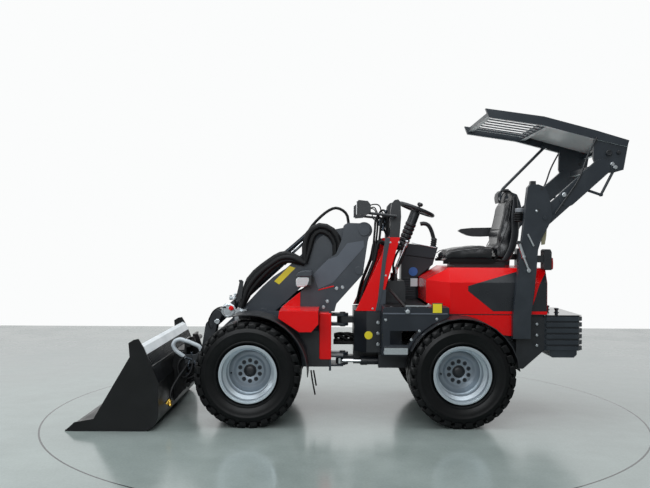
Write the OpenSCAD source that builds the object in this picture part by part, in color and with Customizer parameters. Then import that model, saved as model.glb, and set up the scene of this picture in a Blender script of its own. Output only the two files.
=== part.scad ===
// Mini wheel loader: articulated frame, lift boom with a bucket, fold-back roll-over frame.
// Millimetres, +Z up, +X towards the rear, -Y is the machine's left side.

/* [Wheels] */
// Outer diameter of a tyre over its lugs
tyre_d = 736; // [700:1:780]
// Width of a tyre
tyre_w = 310; // [280:1:330]
// Height of the tread lugs
lug_h = 22; // [12:1:30]
// Number of lugs on each half of the tread
lug_count = 18; // [14:1:22]
// Diameter of the rim over its flanges
rim_d = 406; // [396:1:416]
// Width of the rim over its flanges
rim_w = 266; // [250:1:276]
// Depth from the rim's outer flange to the wheel disc
disc_depth = 180; // [150:1:190]
// Distance between the wheel centres on one axle
track = 990; // [970:1:1020]
// Distance between the two axles
wheelbase = 1490; // [1460:1:1520]

/* [Articulation] */
// Distance from the front axle to the frame's hinge pin
pivot_x = 667; // [655:1:680]
// Radius of the two frame hinge pins
pivot_pin_r = 22; // [16:1:26]
// Height of the upper frame hinge
pivot_top_z = 692; // [670:1:700]
// Height of the lower frame hinge
pivot_low_z = 392; // [380:1:410]

/* [Boom] */
// Distance of the boom's pivot behind the front axle
boom_x = 822; // [810:1:835]
// Height of the boom's pivot
boom_z = 1379; // [1365:1:1390]
// Width of the boom's box
boom_w = 224; // [200:1:240]
// Wall of the boom's side plates
boom_wall = 12; // [8:1:16]
// Distance of the nose pin ahead of the front axle
nose_x = 400; // [390:1:415]
// Height of the nose pin
nose_z = 300; // [285:1:320]
// Radius of the lift cylinder's barrel
lift_r = 42; // [34:1:48]
// Radius of the lift cylinder's rod
lift_rod_r = 22; // [16:1:26]

/* [Bucket] */
// Width of the bucket over its side plates
bucket_w = 1480; // [1340:1:1600]
// Thickness of the bucket's floor and back
bucket_wall = 8; // [6:1:12]
// Thickness of the bucket's side plates
bucket_side = 10; // [8:1:14]
// Number of bars in the guard above the bucket's back
guard_bars = 22; // [14:1:28]

/* [Rear body] */
// Width of the engine hood
hood_w = 750; // [700:1:756]
// Height of the hood's top
hood_z = 1105; // [1090:1:1120]
// Wall of the hood
hood_wall = 6; // [3:1:10]
// Width of the platform
platform_w = 1120; // [1040:1:1160]
// Height of the platform's deck
deck_z = 832; // [820:1:845]
// Width of one post
post_t = 50; // [44:1:52]

/* [Hidden] */

// Colours
black = "#1b1c1f";
graphite = "#33363c";
red = "#c4161c";
silver = "#a9adb2";
chrome = "#d5d8dc";
rubber = "#1a1a1a";
lens = "#dfe6ea";

run = 0.05;       // running clearance of a pin in its bore, on the radius
seat = 0.3;       // clearance of pieces that seat on each other
clear = 5;        // clearance of moving pieces

axle_z = tyre_d / 2;
lip_x = -1225;
rear_shift = wheelbase - 1490;
tail_x = 2714 + rear_shift;
mid_x = (lip_x + tail_x) / 2;
P = [boom_x, boom_z];
N = [-nose_x, nose_z];

// ---- helpers ----
module place() translate([-mid_x, 0, 0]) children();
module sides() {
    children();
    mirror([0, 1, 0]) children();
}
// The rear body is drawn for a wheelbase of 1490 and stays with its axle
module place_rear() place() translate([rear_shift, 0, 0]) children();
// A profile drawn in X and Z, from y0 to y1
module slab(y0, y1) translate([0, y1, 0]) rotate([90, 0, 0]) linear_extrude(y1 - y0) children();
// A cross-section drawn in Y and Z, from x0 to x1
module loft_x(x0, x1) translate([x0, 0, 0]) rotate([90, 0, 90]) linear_extrude(x1 - x0) children();
// A box given by its two corners
module box(a, b) translate(a) cube(b - a);
// A pin along Y at [x, z]
module pin_y(c, r, y0, y1) translate([c[0], y1, c[1]]) rotate([90, 0, 0]) cylinder(r = r, h = y1 - y0, $fn = 48);
// A round bar between two points
module bar(a, b, r, sides_n = 32) {
    d = b - a;
    len = norm(d);
    translate(a) rotate([0, acos(d[2] / len), atan2(d[1], d[0])]) cylinder(r = r, h = len, $fn = sides_n);
}
// A plate link with round ends between two points of a side view
module link_2d(a, b, r) hull() {
    translate(a) circle(r = r, $fn = 32);
    translate(b) circle(r = r, $fn = 32);
}
// Tube swept along points, eight sides
function unit(v) = v / norm(v);
function tangent(p, i) = unit(p[min(i + 1, len(p) - 1)] - p[max(i - 1, 0)]);
function side_of(t) = abs(t[1]) > 0.9 ? unit(cross(t, [1, 0, 0])) : unit(cross(t, [0, 1, 0]));
function ring(c, t, r, n) = let (u = side_of(t), v = cross(t, u))
    [for (k = [0:n - 1]) c + r * (cos(360 * k / n) * u + sin(360 * k / n) * v)];
// Smooth points through a list of corners (Catmull-Rom)
function spline_at(a, b, c, d, t) = 0.5 * ((2 * b) + (c - a) * t + (2 * a - 5 * b + 4 * c - d) * t * t
    + (3 * b - a - 3 * c + d) * t * t * t);
function spline(p, steps) = let (m = len(p) - 1)
    [for (i = [0:m - 1]) for (s = [0:steps - 1])
        spline_at(p[max(i - 1, 0)], p[i], p[i + 1], p[min(i + 2, m)], s / steps), p[m]];
module tube(p, r, n = 8) {
    m = len(p);
    rings = [for (i = [0:m - 1]) each ring(p[i], tangent(p, i), r, n)];
    walls = [for (i = [0:m - 2]) for (k = [0:n - 1])
        [i * n + k, (i + 1) * n + k, (i + 1) * n + (k + 1) % n, i * n + (k + 1) % n]];
    first = [for (k = [0:n - 1]) k];
    last = [for (k = [0:n - 1]) m * n - 1 - k];
    polyhedron(points = rings, faces = concat(walls, [first, last]), convexity = 6);
}

// ---- wheels ----
carcass_r = tyre_d / 2 - lug_h;
rim_r = rim_d / 2;
bead_r = rim_r - 13;
rim_wall = 7;
disc_y = rim_w / 2 - disc_depth;
hub_in = disc_y - 60;
spindle_r = 28;

tyre_n = 28;
// One mesh of flat faces for each tyre, the lugs included
module tyre_shape() {
    w = tyre_w / 2;
    bore = (bead_r + seat) / cos(180 / tyre_n);
    resize([0, 0, tyre_w]) union() {
        rotate_extrude($fn = tyre_n) polygon([
            [bore, -rim_w / 2 + 20], [rim_r + 62, -w], [carcass_r - 36, -w + 2],
            [carcass_r, -w + 36], [carcass_r, w - 36], [carcass_r - 36, w - 2], [rim_r + 62, w],
            [bore, rim_w / 2 - 20], [bore, rim_w / 2 - 42], [carcass_r - 44, w - 34],
            [carcass_r - 44, -w + 34], [bore, -rim_w / 2 + 42]]);
        for (k = [0:lug_count - 1]) {
            rotate(360 * k / lug_count) lug(1);
            rotate(360 * (k + 0.5) / lug_count) lug(-1);
        }
    }
}
// One tread lug, a slanted bar from the middle of the tread to the shoulder
module lug(s) {
    w = tyre_w / 2;
    translate([carcass_r - 40, 0, 0]) rotate([90, 0, 90]) linear_extrude(tyre_d / 2 - carcass_r + 39)
        polygon([for (q = [[-34, 8], [10, 8], [38, w - 4], [-6, w - 4]]) [q[0], s * q[1]]]);
}
module tyre(x, s) translate([x, s * track / 2, axle_z]) rotate([s * -90, 0, 0]) color(rubber) tyre_shape();
module rim_shape() {
    h = rim_w / 2;
    d = disc_y;
    difference() {
        union() {
            // barrel with its drop centre and a stepped outer flange
            rotate_extrude($fn = 64) polygon([
                [rim_r, h], [rim_r, h - 11], [bead_r, h - 11], [bead_r - 1, h - 55], [bead_r - 24, h - 75],
                [bead_r - 24, -h + 75], [bead_r - 1, -h + 55], [bead_r, -h + 11], [rim_r, -h + 11], [rim_r, -h],
                [bead_r - rim_wall, -h], [bead_r - rim_wall, -h + 58], [bead_r - 24 - rim_wall, -h + 78],
                [bead_r - 24 - rim_wall, h - 78], [bead_r - rim_wall, h - 58], [bead_r - rim_wall, h - 5],
                [bead_r + 2, h - 5], [bead_r + 2, h]]);
            // disc, sunk in the middle
            rotate_extrude($fn = 64) polygon([
                [0, d - 6], [0, d + 2], [47, d + 2], [47, d + 14], [98, d + 14], [116, d + 26], [bead_r - 26, d + 26],
                [bead_r - 26, d + 16], [119, d + 16], [102, d - 6]]);
            translate([0, 0, hub_in]) cylinder(r = 62, h = d - hub_in, $fn = 48);
        }
        translate([0, 0, hub_in - 1]) cylinder(r = spindle_r + run, h = d - hub_in - 3, $fn = 48);
        for (k = [0:9]) rotate(36 * k + 18) translate([73, 0, d + 3]) cylinder(r = 16, h = 20, $fn = 24);
    }
}
module rim(x, s) translate([x, s * track / 2, axle_z]) rotate([s * -90, 0, 0]) color(silver) rim_shape();

// Axle beam with a drive housing, hub motors and spindles
hub_face = track / 2 + hub_in;
module axle_shape(x) translate([x, 0, axle_z]) {
    rotate([90, 0, 0]) translate([0, 0, -hub_face + 60]) cylinder(r = 48, h = 2 * hub_face - 120, $fn = 32);
    rotate([90, 0, 0]) rotate_extrude($fn = 40) polygon([[0, -120], [60, -120], [104, -60], [104, 60], [60, 120], [0, 120]]);
    sides() {
        rotate([90, 0, 0]) translate([0, 0, hub_face - 90]) cylinder(r = 84, h = 90 - 0.5, $fn = 40);
        rotate([90, 0, 0]) translate([0, 0, hub_face - 2]) cylinder(r = spindle_r, h = disc_y - hub_in - 6, $fn = 48);
        box([-60, -200, 30], [60, -140, axle_pad]);
    }
}
axle_pad = 66;

// ---- front frame ----
ear_r = 44;
rear_wall_x = 579;
chassis_y = 175;
tower_y = 190;
module ear(z0, z1, from_x, to_x, r, bore) difference() {
    union() {
        translate([pivot_x, 0, z0]) cylinder(r = r, h = z1 - z0, $fn = 48);
        box([min(from_x, to_x), -r, z0], [max(from_x, to_x), r, z1]);
    }
    if (bore) translate([pivot_x, 0, z0 - 1]) cylinder(r = pivot_pin_r + run, h = z1 - z0 + 2, $fn = 48);
}
module front_chassis() place() color(graphite) {
    difference() {
        union() {
            sides() slab(-chassis_y, -chassis_y + 15) polygon([[-90, axle_z + axle_pad], [-90, 600], [100, 768],
                [rear_wall_x, 768], [rear_wall_x, 350], [170, 350], [110, axle_z + axle_pad]]);
            box([170, -chassis_y, 350], [rear_wall_x, chassis_y, 362]);
            sides() box([-90, -chassis_y, axle_z + axle_pad], [110, -128, axle_z + axle_pad + 12]);
            box([rear_wall_x - 16, -330, 347], [rear_wall_x, 330, 768]);
        }
        box([rear_wall_x - 20, -150, 470], [rear_wall_x + 5, 150, 620]);
    }
    for (z = [pivot_top_z, pivot_low_z]) {
        ear(z + 26, z + 48, rear_wall_x - 1, pivot_x, ear_r, true);
        ear(z - 48, z - 26, rear_wall_x - 1, pivot_x, ear_r, true);
    }
    // lug plates for the steering cylinder's rod, with the pin's two stubs
    for (z = [steer_z + 28, steer_z - 40]) box([rear_wall_x - 1, -steer_y - 35, z], [steer_pin_x + 30, -ear_r + 2, z + 12]);
    for (z = [steer_z + 20 + seat, steer_z - 30]) translate([steer_pin_x, -steer_y, z])
        cylinder(r = 12, h = 10 - seat, $fn = 32);
}
module front_axle() place() color(black) axle_shape(0);

tower_side = [[200, 700], [562.7, 700], [562.7, 768.3], [602, 768.3], [617, 826], [814, 1046], [850, 1300], [870, 1370],
    [868, 1412], [850, 1430], [700, 1434], [674, 1420], [655, 1311], [612, 1200], [549, 1160], [436, 1047], [400, 960],
    [345, 915], [200, 800]];
lift_base = [784, 1078];
lift_pin_r = 20;
boom_pin_r = 30;
module tower() place() color(graphite) {
    sides() slab(-tower_y, -chassis_y) polygon(tower_side);
    // rear web between the plates
    slab(-chassis_y, chassis_y) polygon([[617, 826], [756, 981], [745, 991], [606, 836]]);
    // boom pin with its heads
    pin_y(P, boom_pin_r, -tower_y - 12, tower_y + 12);
    sides() pin_y(P, 42, -tower_y - 12, -tower_y);
    pin_y(lift_base, lift_pin_r, -tower_y - 8, tower_y + 8);
    sides() pin_y(lift_base, 30, -tower_y - 8, -tower_y);
}

fender_in = tyre_d / 2 + 44;
fender_t = 6;
fender_y0 = track / 2 - tyre_w / 2 + 2;
fender_y1 = track / 2 + tyre_w / 2 - 10;
module arc_2d(r0, r1, a0, a1) {
    polygon([for (k = [0:12]) r1 * [cos(a0 + (a1 - a0) * k / 12), sin(a0 + (a1 - a0) * k / 12)],
        for (k = [12:-1:0]) r0 * [cos(a0 + (a1 - a0) * k / 12), sin(a0 + (a1 - a0) * k / 12)]]);
}
module front_fenders() place() color(black) sides() {
    slab(-fender_y1, -fender_y0) translate([0, axle_z]) arc_2d(fender_in, fender_in + fender_t, -2, 105);
    // side plate that ties the fender's rear end to the frame's rear wall
    slab(-fender_y0, -fender_y0 + 6) polygon([[410, 380], [rear_wall_x - 16, 380], [rear_wall_x - 16, 640],
        [350, 640], [400, 520]]);
    // brackets to the tower
    box([210, -fender_y0 - 30, 735], [260, -tower_y, 745]);
    slab(-fender_y0, -fender_y0 + 6) translate([0, axle_z]) arc_2d(fender_in - 50, fender_in + fender_t, 40, 105);
}
module front_panels() place() color(red) sides() {
    // corner cover over the fender: side skin and top skin
    slab(-560, -554) polygon([[212, 804], [487, 804], [487, 712], [437, 656], [353, 655], [205, 752]]);
    box([212, -560, 798], [487, -tower_y - seat, 804]);
    // gusset against the tower
    slab(-tower_y - 8 - seat, -tower_y - seat) polygon([[212, 804], [345, 804], [345, 915]]);
    // upright panel at the frame's rear corner
    box([489, -336, 430], [rear_wall_x, -330, 766]);
    box([489, -330, 760], [rear_wall_x - 16, -tower_y - seat, 766]);
}
module headlamps() place() sides() {
    color(black) difference() {
        box([345, -300, 970], [430, -200, 1070]);
        box([344, -292, 978], [380, -208, 1062]);
    }
    color(lens) box([334, -292 + seat, 978 + seat], [380 - seat, -208 - seat, 1062 - seat]);
    color(black) box([380, -200, 990], [450, -tower_y, 1030]);
}

// ---- boom ----
boom_y = boom_w / 2;
lift_eye = [60, 748];
tilt_base = [480, 1400];
tilt_eye = [-345, 640];
tilt_eye_w = 84;
boom_side = [[872, 1345], [885, 1385], [865, 1420], [833, 1430], [595, 1385], [502, 1335], [234, 1089],
    [135, 1022], [51, 945], [-120, 758],
    [-232, 655], [-232, 560], [-120, 500], [-20, 600], [357, 953], [620, 1190], [790, 1315]];
neck_side = [[-180, 700], [-232, 655], [-300, 590], [-430, 400], [-462, 320], [-452, 270], [-410, 245], [-365, 255],
    [-330, 320], [-220, 500], [-100, 540]];
module boom_arm() place() color(graphite) difference() {
    union() {
        difference() {
            slab(-boom_y, boom_y) polygon(boom_side);
            slab(-boom_y + boom_wall, boom_y - boom_wall) offset(delta = -boom_wall) polygon(boom_side);
            // open underside for the lift cylinder
            slab(-70, 70) polygon([[-40, 560], [300, 700], [700, 1100], [700, 1282], [357, 990], [-40, 660]]);
        }
        slab(-50, 50) polygon(neck_side);
        pin_y(P, 62, -chassis_y + seat, chassis_y - seat);
        sides() pin_y(lift_eye, lift_pin_r, -boom_y - 6, -25 - seat);
        sides() pin_y(lift_eye, 34, -boom_y - 6, -boom_y + 1);
        // bracket of the tilt cylinder
        sides() slab(-60, -48) polygon([[430, 1240], [560, 1330], [520, 1415], [480, 1435], [445, 1415], [440, 1380]]);
        pin_y(tilt_base, 16, -66, 66);
        pin_y(N, 22, -106, 106);
        sides() pin_y(N, 34, -106, -98);
    }
    pin_y(P, boom_pin_r + run, -chassis_y - 1, chassis_y + 1);
}
module boom_couplers() place() {
    color(graphite) box([-150, -boom_y - 60, 690], [-60, -boom_y, 780]);
    color(silver) for (z = [710, 755]) pin_y([-105, z], 16, -boom_y - 95, -boom_y - 60);
}
hose_main = [[-105, -144, 787], [-44, -144, 1000], [109, -144, 1140], [235, -144, 1198], [379, -144, 1130]];
hose_under = [[-97, -144, 802], [-20, -144, 940], [120, -144, 1092], [235, -144, 1152], [379, -144, 1130]];
hose_loop = [[379, -144, 1130], [376, -144, 1250], [402, -144, 1352], [485, -144, 1412], [584, -144, 1378],
    [640, -144, 1275], [630, -144, 1170], [640, -144, 1090]];
hose_loop_in = [[379, -144, 1130], [414, -144, 1250], [438, -144, 1330], [490, -144, 1372], [560, -144, 1345],
    [604, -144, 1270], [606, -144, 1170], [640, -144, 1090]];
hose_arch = [[400, -82, 1254], [396, -82, 1345], [428, -82, 1412], [495, -82, 1484], [556, -82, 1531], [610, -82, 1550],
    [664, -82, 1531], [699, -82, 1487], [708, -82, 1407.8]];
module boom_hoses() place() color(black) {
    tube(spline(hose_main, 3), 24, 10);
    tube(spline(hose_under, 3), 24, 10);
    tube(spline(hose_loop, 2), 23, 10);
    tube(spline(hose_loop_in, 2), 21, 10);
    tube(spline(hose_arch, 2), 11, 8);
}

function dir2(a, b) = (b - a) / norm(b - a);
// Turns a shape drawn along +X from the origin to point from a towards b in the side view
module along(a, b) translate([a[0], 0, a[1]]) rotate([0, -atan2(b[1] - a[1], b[0] - a[0]), 0]) children();
lift_len = norm(lift_eye - lift_base);
lift_tube = 560;
module barrel(len, r, rod_r, eye_r, pin_r, w) difference() {
    union() {
        rotate([90, 0, 0]) translate([0, 0, -w / 2]) cylinder(r = eye_r, h = w, $fn = 48);
        rotate([0, 90, 0]) translate([0, 0, eye_r * 0.7]) cylinder(r = r, h = len - eye_r * 0.7, $fn = 48);
        rotate([0, 90, 0]) translate([0, 0, len - 50]) cylinder(r = r + 5, h = 50, $fn = 48);
    }
    rotate([90, 0, 0]) translate([0, 0, -w]) cylinder(r = pin_r + run, h = 2 * w, $fn = 48);
    rotate([0, 90, 0]) translate([0, 0, eye_r + 20]) cylinder(r = rod_r + run, h = len, $fn = 48);
}
module rod(start, len, rod_r, eye_r, pin_r, w) difference() {
    union() {
        rotate([0, 90, 0]) translate([0, 0, start]) cylinder(r = rod_r, h = len - start - eye_r * 0.6, $fn = 48);
        translate([len, w / 2, 0]) rotate([90, 0, 0]) cylinder(r = eye_r, h = w, $fn = 48);
    }
    translate([len, w, 0]) rotate([90, 0, 0]) cylinder(r = pin_r + run, h = 2 * w, $fn = 48);
}
module lift_barrel() place() color(black) along(lift_base, lift_eye)
    barrel(lift_tube, lift_r, lift_rod_r, 44, lift_pin_r, 60);
module lift_rod() place() color(chrome) along(lift_base, lift_eye)
    rod(130, lift_len, lift_rod_r, 38, lift_pin_r, 50);
tilt_len = norm(tilt_eye - tilt_base);
tilt_r = 34;
tilt_rod_r = 18;
module tilt_rod() place() color(chrome) along(tilt_base, tilt_eye) mirror([1, 0, 0]) translate([-tilt_len, 0, 0])
    rod(120, tilt_len, tilt_rod_r, 30, 16, 50);
module tilt_barrel() place() color(black) along(tilt_eye, tilt_base)
    barrel(tilt_len - 340, tilt_r, tilt_rod_r, 32, 16, tilt_eye_w);
module level_link() place() color(black) sides() {
    difference() {
        slab(-68, -56) union() {
            link_2d(N, tilt_eye, 42);
            link_2d(tilt_eye, [-300, 728], 38);
        }
        pin_y(N, 22 + run, -80, -40);
    }
    pin_y(tilt_eye, 16, -74, -tilt_eye_w / 2 - seat);
}

// ---- bucket ----
half_b = bucket_w / 2;
floor_end = -707;
back_x = -590;
heel_r = 117;
back_top = [-636, 440];
rim_top = [-695, 572];
module heel(r) translate([back_x - heel_r, heel_r]) intersection() {
    circle(r = r, $fn = 64);
    translate([0, -200]) square([200, 200]);
}
module bucket_shell() place() color(black) {
    // floor, heel and back as one bent plate
    slab(-half_b + bucket_side, half_b - bucket_side) {
        polygon([[lip_x, 0], [floor_end, 0], [floor_end, bucket_wall], [-1090, bucket_wall], [-1092, 22], [-1180, 22], [lip_x, 6]]);
        difference() {
            heel(heel_r);
            circle_cut();
        }
        polygon([[back_x, heel_r], [back_x, 330], back_top, back_top - [bucket_wall, 3], [back_x - bucket_wall, 328],
            [back_x - bucket_wall, heel_r]]);
    }
    // side plates
    sides() slab(-half_b, -half_b + bucket_side) union() {
        polygon([[lip_x, 0], [floor_end, 0], [floor_end + 60, 20], [back_x - 20, 60], [back_x, heel_r], [back_x, 330],
            rim_top + [0, 0], [-727, 626], [-760, 620], [-795, 598], [-787, 504], [-1030, 84], [-1160, 60]]);
        heel(heel_r);
    }
    // stiffener under the guard and ribs that meet the hitch
    for (y = [-230, -160, 160, 230]) slab(y - 6, y + 6) polygon([[back_x, 100], [-512, 190], [-512, 470],
        [-585, 470], [-606, 370], [back_x, 330]]);
}
module circle_cut() translate([back_x - heel_r, heel_r]) circle(r = heel_r - bucket_wall, $fn = 64);
module bucket_guard() place() color(black) {
    slab(-half_b + bucket_side, half_b - bucket_side) polygon([rim_top, rim_top + [-28, 12], rim_top + [-34, 2], rim_top + [-6, -10]]);
    for (k = [0:guard_bars - 1]) {
        y = -half_b + bucket_side + 20 + k * (bucket_w - 2 * bucket_side - 40) / (guard_bars - 1);
        slab(y - 4, y + 4) polygon([back_top, rim_top + [-4, -2], rim_top + [-16, 4], back_top + [-10, 0]]);
    }
}
module quick_hitch() place() color(black) {
    difference() {
        union() {
            sides() slab(-94, -80) polygon([[-496, 200], [-420, 250], [-372, 262], [-362, 310], [-400, 360], [-470, 560], [-496, 560]]);
            box([-511.7, -250, 195], [-496, 250, 560]);
            sides() pin_y([-482, 520], 18, -250, -80);
            pin_y([-484, 222], 16, -250, 250);
        }
        pin_y(N, 22 + run, -100, 100);
        box([-530, -78, 250], [-490, 78, 570]);
    }
}

// ---- rear frame ----
rear_front_x = 749;
rail_y = 250;
steer_z = 395;
steer_y = 150;
steer_pin_x = 640;
steer_base_x = 1085;
side_y = 330;
// Plan of the frame's front block, cut back at the corners where the front frame swings
module front_block_2d(g) polygon([[rear_front_x + g, -210 + g], [rear_front_x + g, 210 - g], [838, 300 - g], [941, 300 - g],
    [941, -300 + g], [838, -300 + g]]);
module rear_chassis() place() color(black) {
    difference() {
        translate([0, 0, 478]) linear_extrude(293) front_block_2d(0);
        translate([0, 0, 500]) linear_extrude(250) front_block_2d(14);
        box([930, -270, 500], [950, 270, 750]);
        box([rear_front_x - 5, -70, 500], [rear_front_x + 20, 70, 620]);
    }
    box([rear_front_x, -60, 357], [810, 60, 480]);
    box([800, -105, 357], [941, 105, 480]);
    for (z = [pivot_top_z, pivot_low_z]) {
        ear(z - 24, z + 24, pivot_x, rear_front_x + 1, ear_r, false);
        translate([pivot_x, 0, z - 56]) cylinder(r = pivot_pin_r, h = 112, $fn = 48);
    }
    box([930, -100, 357], [steer_base_x + 30, -90, 470]);
    // bracket of the steering cylinder's barrel
    for (z = [steer_z + 34, steer_z - 46]) box([1010, -steer_y - 30, z], [steer_base_x + 30, -95, z + 12]);
    translate([steer_base_x, -steer_y, steer_z - 40]) cylinder(r = 12, h = 80, $fn = 32);
    // main rails with the rise over the rear axle
    sides() slab(-rail_y, -rail_y + 60) polygon(concat([[930, 357]], [for (q = [[1340, 357],
        [1400, axle_z + axle_pad], [1590, axle_z + axle_pad], [1700, 380], [1960, 369], [2130, 500], [2130, 560],
        [1400, 560], [1340, 500]]) q + [rear_shift, 0]], [[930, 500]]));
    translate([rear_shift, 0, 0]) rear_bay();
}
module rear_bay() {
    // rear side plates and rear wall
    sides() slab(-side_y, -side_y + 12) polygon([[1932, 745], [1932, 369], [1985, 369], [2138, 505], [2138, 745]]);
    sides() box([1940, -side_y + 6, 540], [2120, -rail_y + 10, 580]);
    box([2126, -side_y, 505], [2138, side_y, 745]);
    // rails and ledges that carry the hood
    sides() box([1420, -side_y, 700], [2130, -side_y + 12, hood_base - seat]);
    sides() box([1420, -hood_w / 2, 766.5], [hood_x1, -side_y + 6, hood_base - seat]);
    box([1420, -side_y + 4, 550], [1436, side_y - 4, 720]);
}
module rear_axle() place() color(black) axle_shape(wheelbase);
half_p = platform_w / 2;
// Front edge of the rear fender at height z
function arch_x(z) = wheelbase - sqrt(pow(rear_fender_in + fender_t + clear, 2) - pow(z - axle_z, 2));
step_end = 1095 + rear_shift;
module platform() place() color(graphite) {
    // deck, open where the hood's nose stands
    box([945, -half_p, deck_z - 14], [1270 + rear_shift, half_p, deck_z]);
    sides() box([1260 + rear_shift, -half_p, deck_z - 14], [1405 + rear_shift, -hood_w / 2 - clear, deck_z]);
    translate([0, 0, 771]) linear_extrude(12) front_block_2d(0);
    sides() {
        difference() {
            slab(-half_p, -half_p + 10) polygon(concat([[937, deck_z - 10], [937, 500], [960, 490]],
                [for (z = [490:45:760]) [arch_x(z), z]], [[1405 + rear_shift, 772], [1405 + rear_shift, deck_z - 10]]));
            slab(-half_p - 1, -half_p + 11) polygon([[990, 570], [990, 668], [1190 + rear_shift, 668], [1120 + rear_shift, 570]]);
        }
        box([937, -half_p + 5, 500], [step_end, -rail_y - 70, 512]);
        box([945, -half_p + 5, deck_z - 60], [955, -290, deck_z - 10]);
        box([941 + seat, -rail_y - 80, 500], [step_end, -rail_y - 70, deck_z - 10]);
        box([941 + seat, -rail_y - 80, 460], [step_end, -rail_y - seat, 505]);
    }
}
module steps() place() color(silver) sides() {
    difference() {
        box([945, -half_p - 30, 512 + seat], [step_end + 5, -half_p - seat, 530]);
        for (x = [965:30:step_end - 15]) translate([x, -half_p - 15, 500]) cylinder(r = 8, h = 50, $fn = 24);
    }
}
rear_fender_in = tyre_d / 2 + 24;
module rear_fenders() place() color(black) sides() {
    slab(-fender_y1, -side_y - seat) translate([wheelbase, axle_z])
        arc_2d(rear_fender_in, rear_fender_in + fender_t, 5, 155);
}
hood_x0 = 1440;
hood_x1 = 2146;
hood_base = 771;
hood_crease_z = 1000;
hood_slope = 60;
module hood_section(g) polygon([[-hood_w / 2 + g, hood_base], [-hood_w / 2 + g, hood_crease_z],
    [-hood_w / 2 + hood_slope + g * 0.7, hood_z - g], [hood_w / 2 - hood_slope - g * 0.7, hood_z - g],
    [hood_w / 2 - g, hood_crease_z], [hood_w / 2 - g, hood_base]]);
module hood_nose(g) hull() {
    loft_x(hood_x0, hood_x0 + 2) hood_section(g);
    box([1281 + g, -250 + g, 845], [1290 + g, 250 - g, 1013 - g]);
}
module hood() place_rear() color(red) difference() {
    union() {
        loft_x(hood_x0, hood_x1) hood_section(0);
        hood_nose(0);
    }
    loft_x(hood_x0 - 1, hood_x1 - hood_wall) hood_section(hood_wall);
    hood_nose(hood_wall);
    // louvres in the rear wall
    for (z = [830:34:1034]) box([hood_x1 - hood_wall - 1, -240, z], [hood_x1 + 1, 240, z + 16]);
    box([1300, -hood_w / 2 + 30, 700], [hood_x1 - hood_wall, hood_w / 2 - 30, hood_base + 1]);
}
module engine_block() place_rear() color(silver) {
    box([1500, -220, 560 + seat], [1980, 220, 1010]);
}
console_fall = 36 / 297;
function console_z(x) = 1288 - console_fall * (x - 1143);
module console() place() color(graphite) {
    console_body();
    // foot beside the hood's nose, and ribs on the side of the footwell
    slab(330, 400) polygon([[1262, deck_z + seat], [1345, deck_z + seat], [1352, 1000], [1398, 1110], [1262, 1110]]);
    for (z = [852:20:992]) box([1150, 237, z], [1256, 246, z + 10]);
}
module console_body() difference() {
    // right-hand console
    slab(245, 400) polygon([[1143, deck_z + seat], [1143, 1288], [1440, 1252], [1398, 1110], [1262, 1000],
        [1262, deck_z + seat]]);
    // groove along the side and a tray in the top
    slab(240, 249) polygon([[1143, 1180], [1143, 1190], [1423, 1160], [1423, 1150]]);
    slab(262, 380) polygon([[1165, 1274], [1165, 1320], [1340, 1300], [1340, 1252]]);
}
cowl_top = 1326;
cowl_side = [[756, 783 + seat], [949, 1200], [993, cowl_top], [1082, cowl_top], [978, 956], [925, 783 + seat]];
cowl_y = 300;
module cowl() place() color(red) {
    sides() slab(-cowl_y, -cowl_y + 10) polygon(cowl_side);
    // front panel, set back from the side panels so that the front frame can swing
    slab(-cowl_y + 5, cowl_y - 5) polygon([[816, 783 + seat], [1003, 1200], [1036, cowl_top], [1024, cowl_top], [991, 1200],
        [804, 783 + seat]]);
    box([1024, -cowl_y + 5, cowl_top - 10], [1082, cowl_y - 5, cowl_top]);
}
wheel_hub = [1236, 1545];
module bellows(r, h, folds) rotate_extrude($fn = 32) polygon(concat([[0, 0]],
    [for (k = [0:folds - 1]) each [[r, h * k / folds], [r, h * (k + 0.5) / folds], [r - 6, h * (k + 0.75) / folds]]],
    [[r - 6, h], [0, h]]));
module controls() place() color(black) {
    // steering column on the cowl's rear
    column = [sin(21), 0, cos(21)];
    hub = [wheel_hub[0], 0, wheel_hub[1]];
    translate(hub - 326 * column) rotate([0, 21, 0]) bellows(42, 226, 7);
    bar(hub - 110 * column, hub - 26 * column, 38);
    bar(hub - 30 * column, hub - 10.4 * column, 26);
    bar([1024.2, 0, 1255], [1130, 0, 1255], 25);
    // valve block behind the cowl with its row of spools
    slab(-180, 130) polygon([[985, deck_z + seat], [985, 940], [1010, 1000], [1125, 1000], [1135, 960],
        [1135, deck_z + seat]]);
    for (y = [-150:50:100]) bar([1060, y, 990], [1060, y, 1050], 16, 24);
    // joystick on the console, square to the console's top
    translate([1412, 320, console_z(1412) + seat]) rotate([0, atan(console_fall), 0]) bellows(25, 72, 4);
    tube(spline([[1420, 320, 1300], [1400, 320, 1378], [1372, 320, 1430], [1335, 320, 1445], [1306, 320, 1440]], 2), 17, 8);
}
module mirrors() place() color(black) sides() {
    slab(-260, -180) polygon([[1008, cowl_top + seat], [1012, 1400], [1015, 1520], [1024, 1578], [1046, 1604],
        [1070, 1609], [1088, 1590], [1093, 1480], [1082, cowl_top + seat]]);
}
module lamps() {
    work_lamps();
    tail_lamps();
}
module work_lamps() place() sides() {
    color(lens) box([760, -392, 1493], [770 - seat, -318, 1587]);
    color(black) work_lamp();
}
module work_lamp() {
    slab(-400, -310) polygon([[770, 1485], [770, 1595], [838, 1588], [860, 1560], [860, 1510], [838, 1490]]);
    bar([845, -350, 1502], [1050, -350, 1480], 10);
    bar([1042, -352, 1481], [1042, -260 - seat, 1481], 10);
}
hinge_hose_z = 515 + seat;
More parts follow.
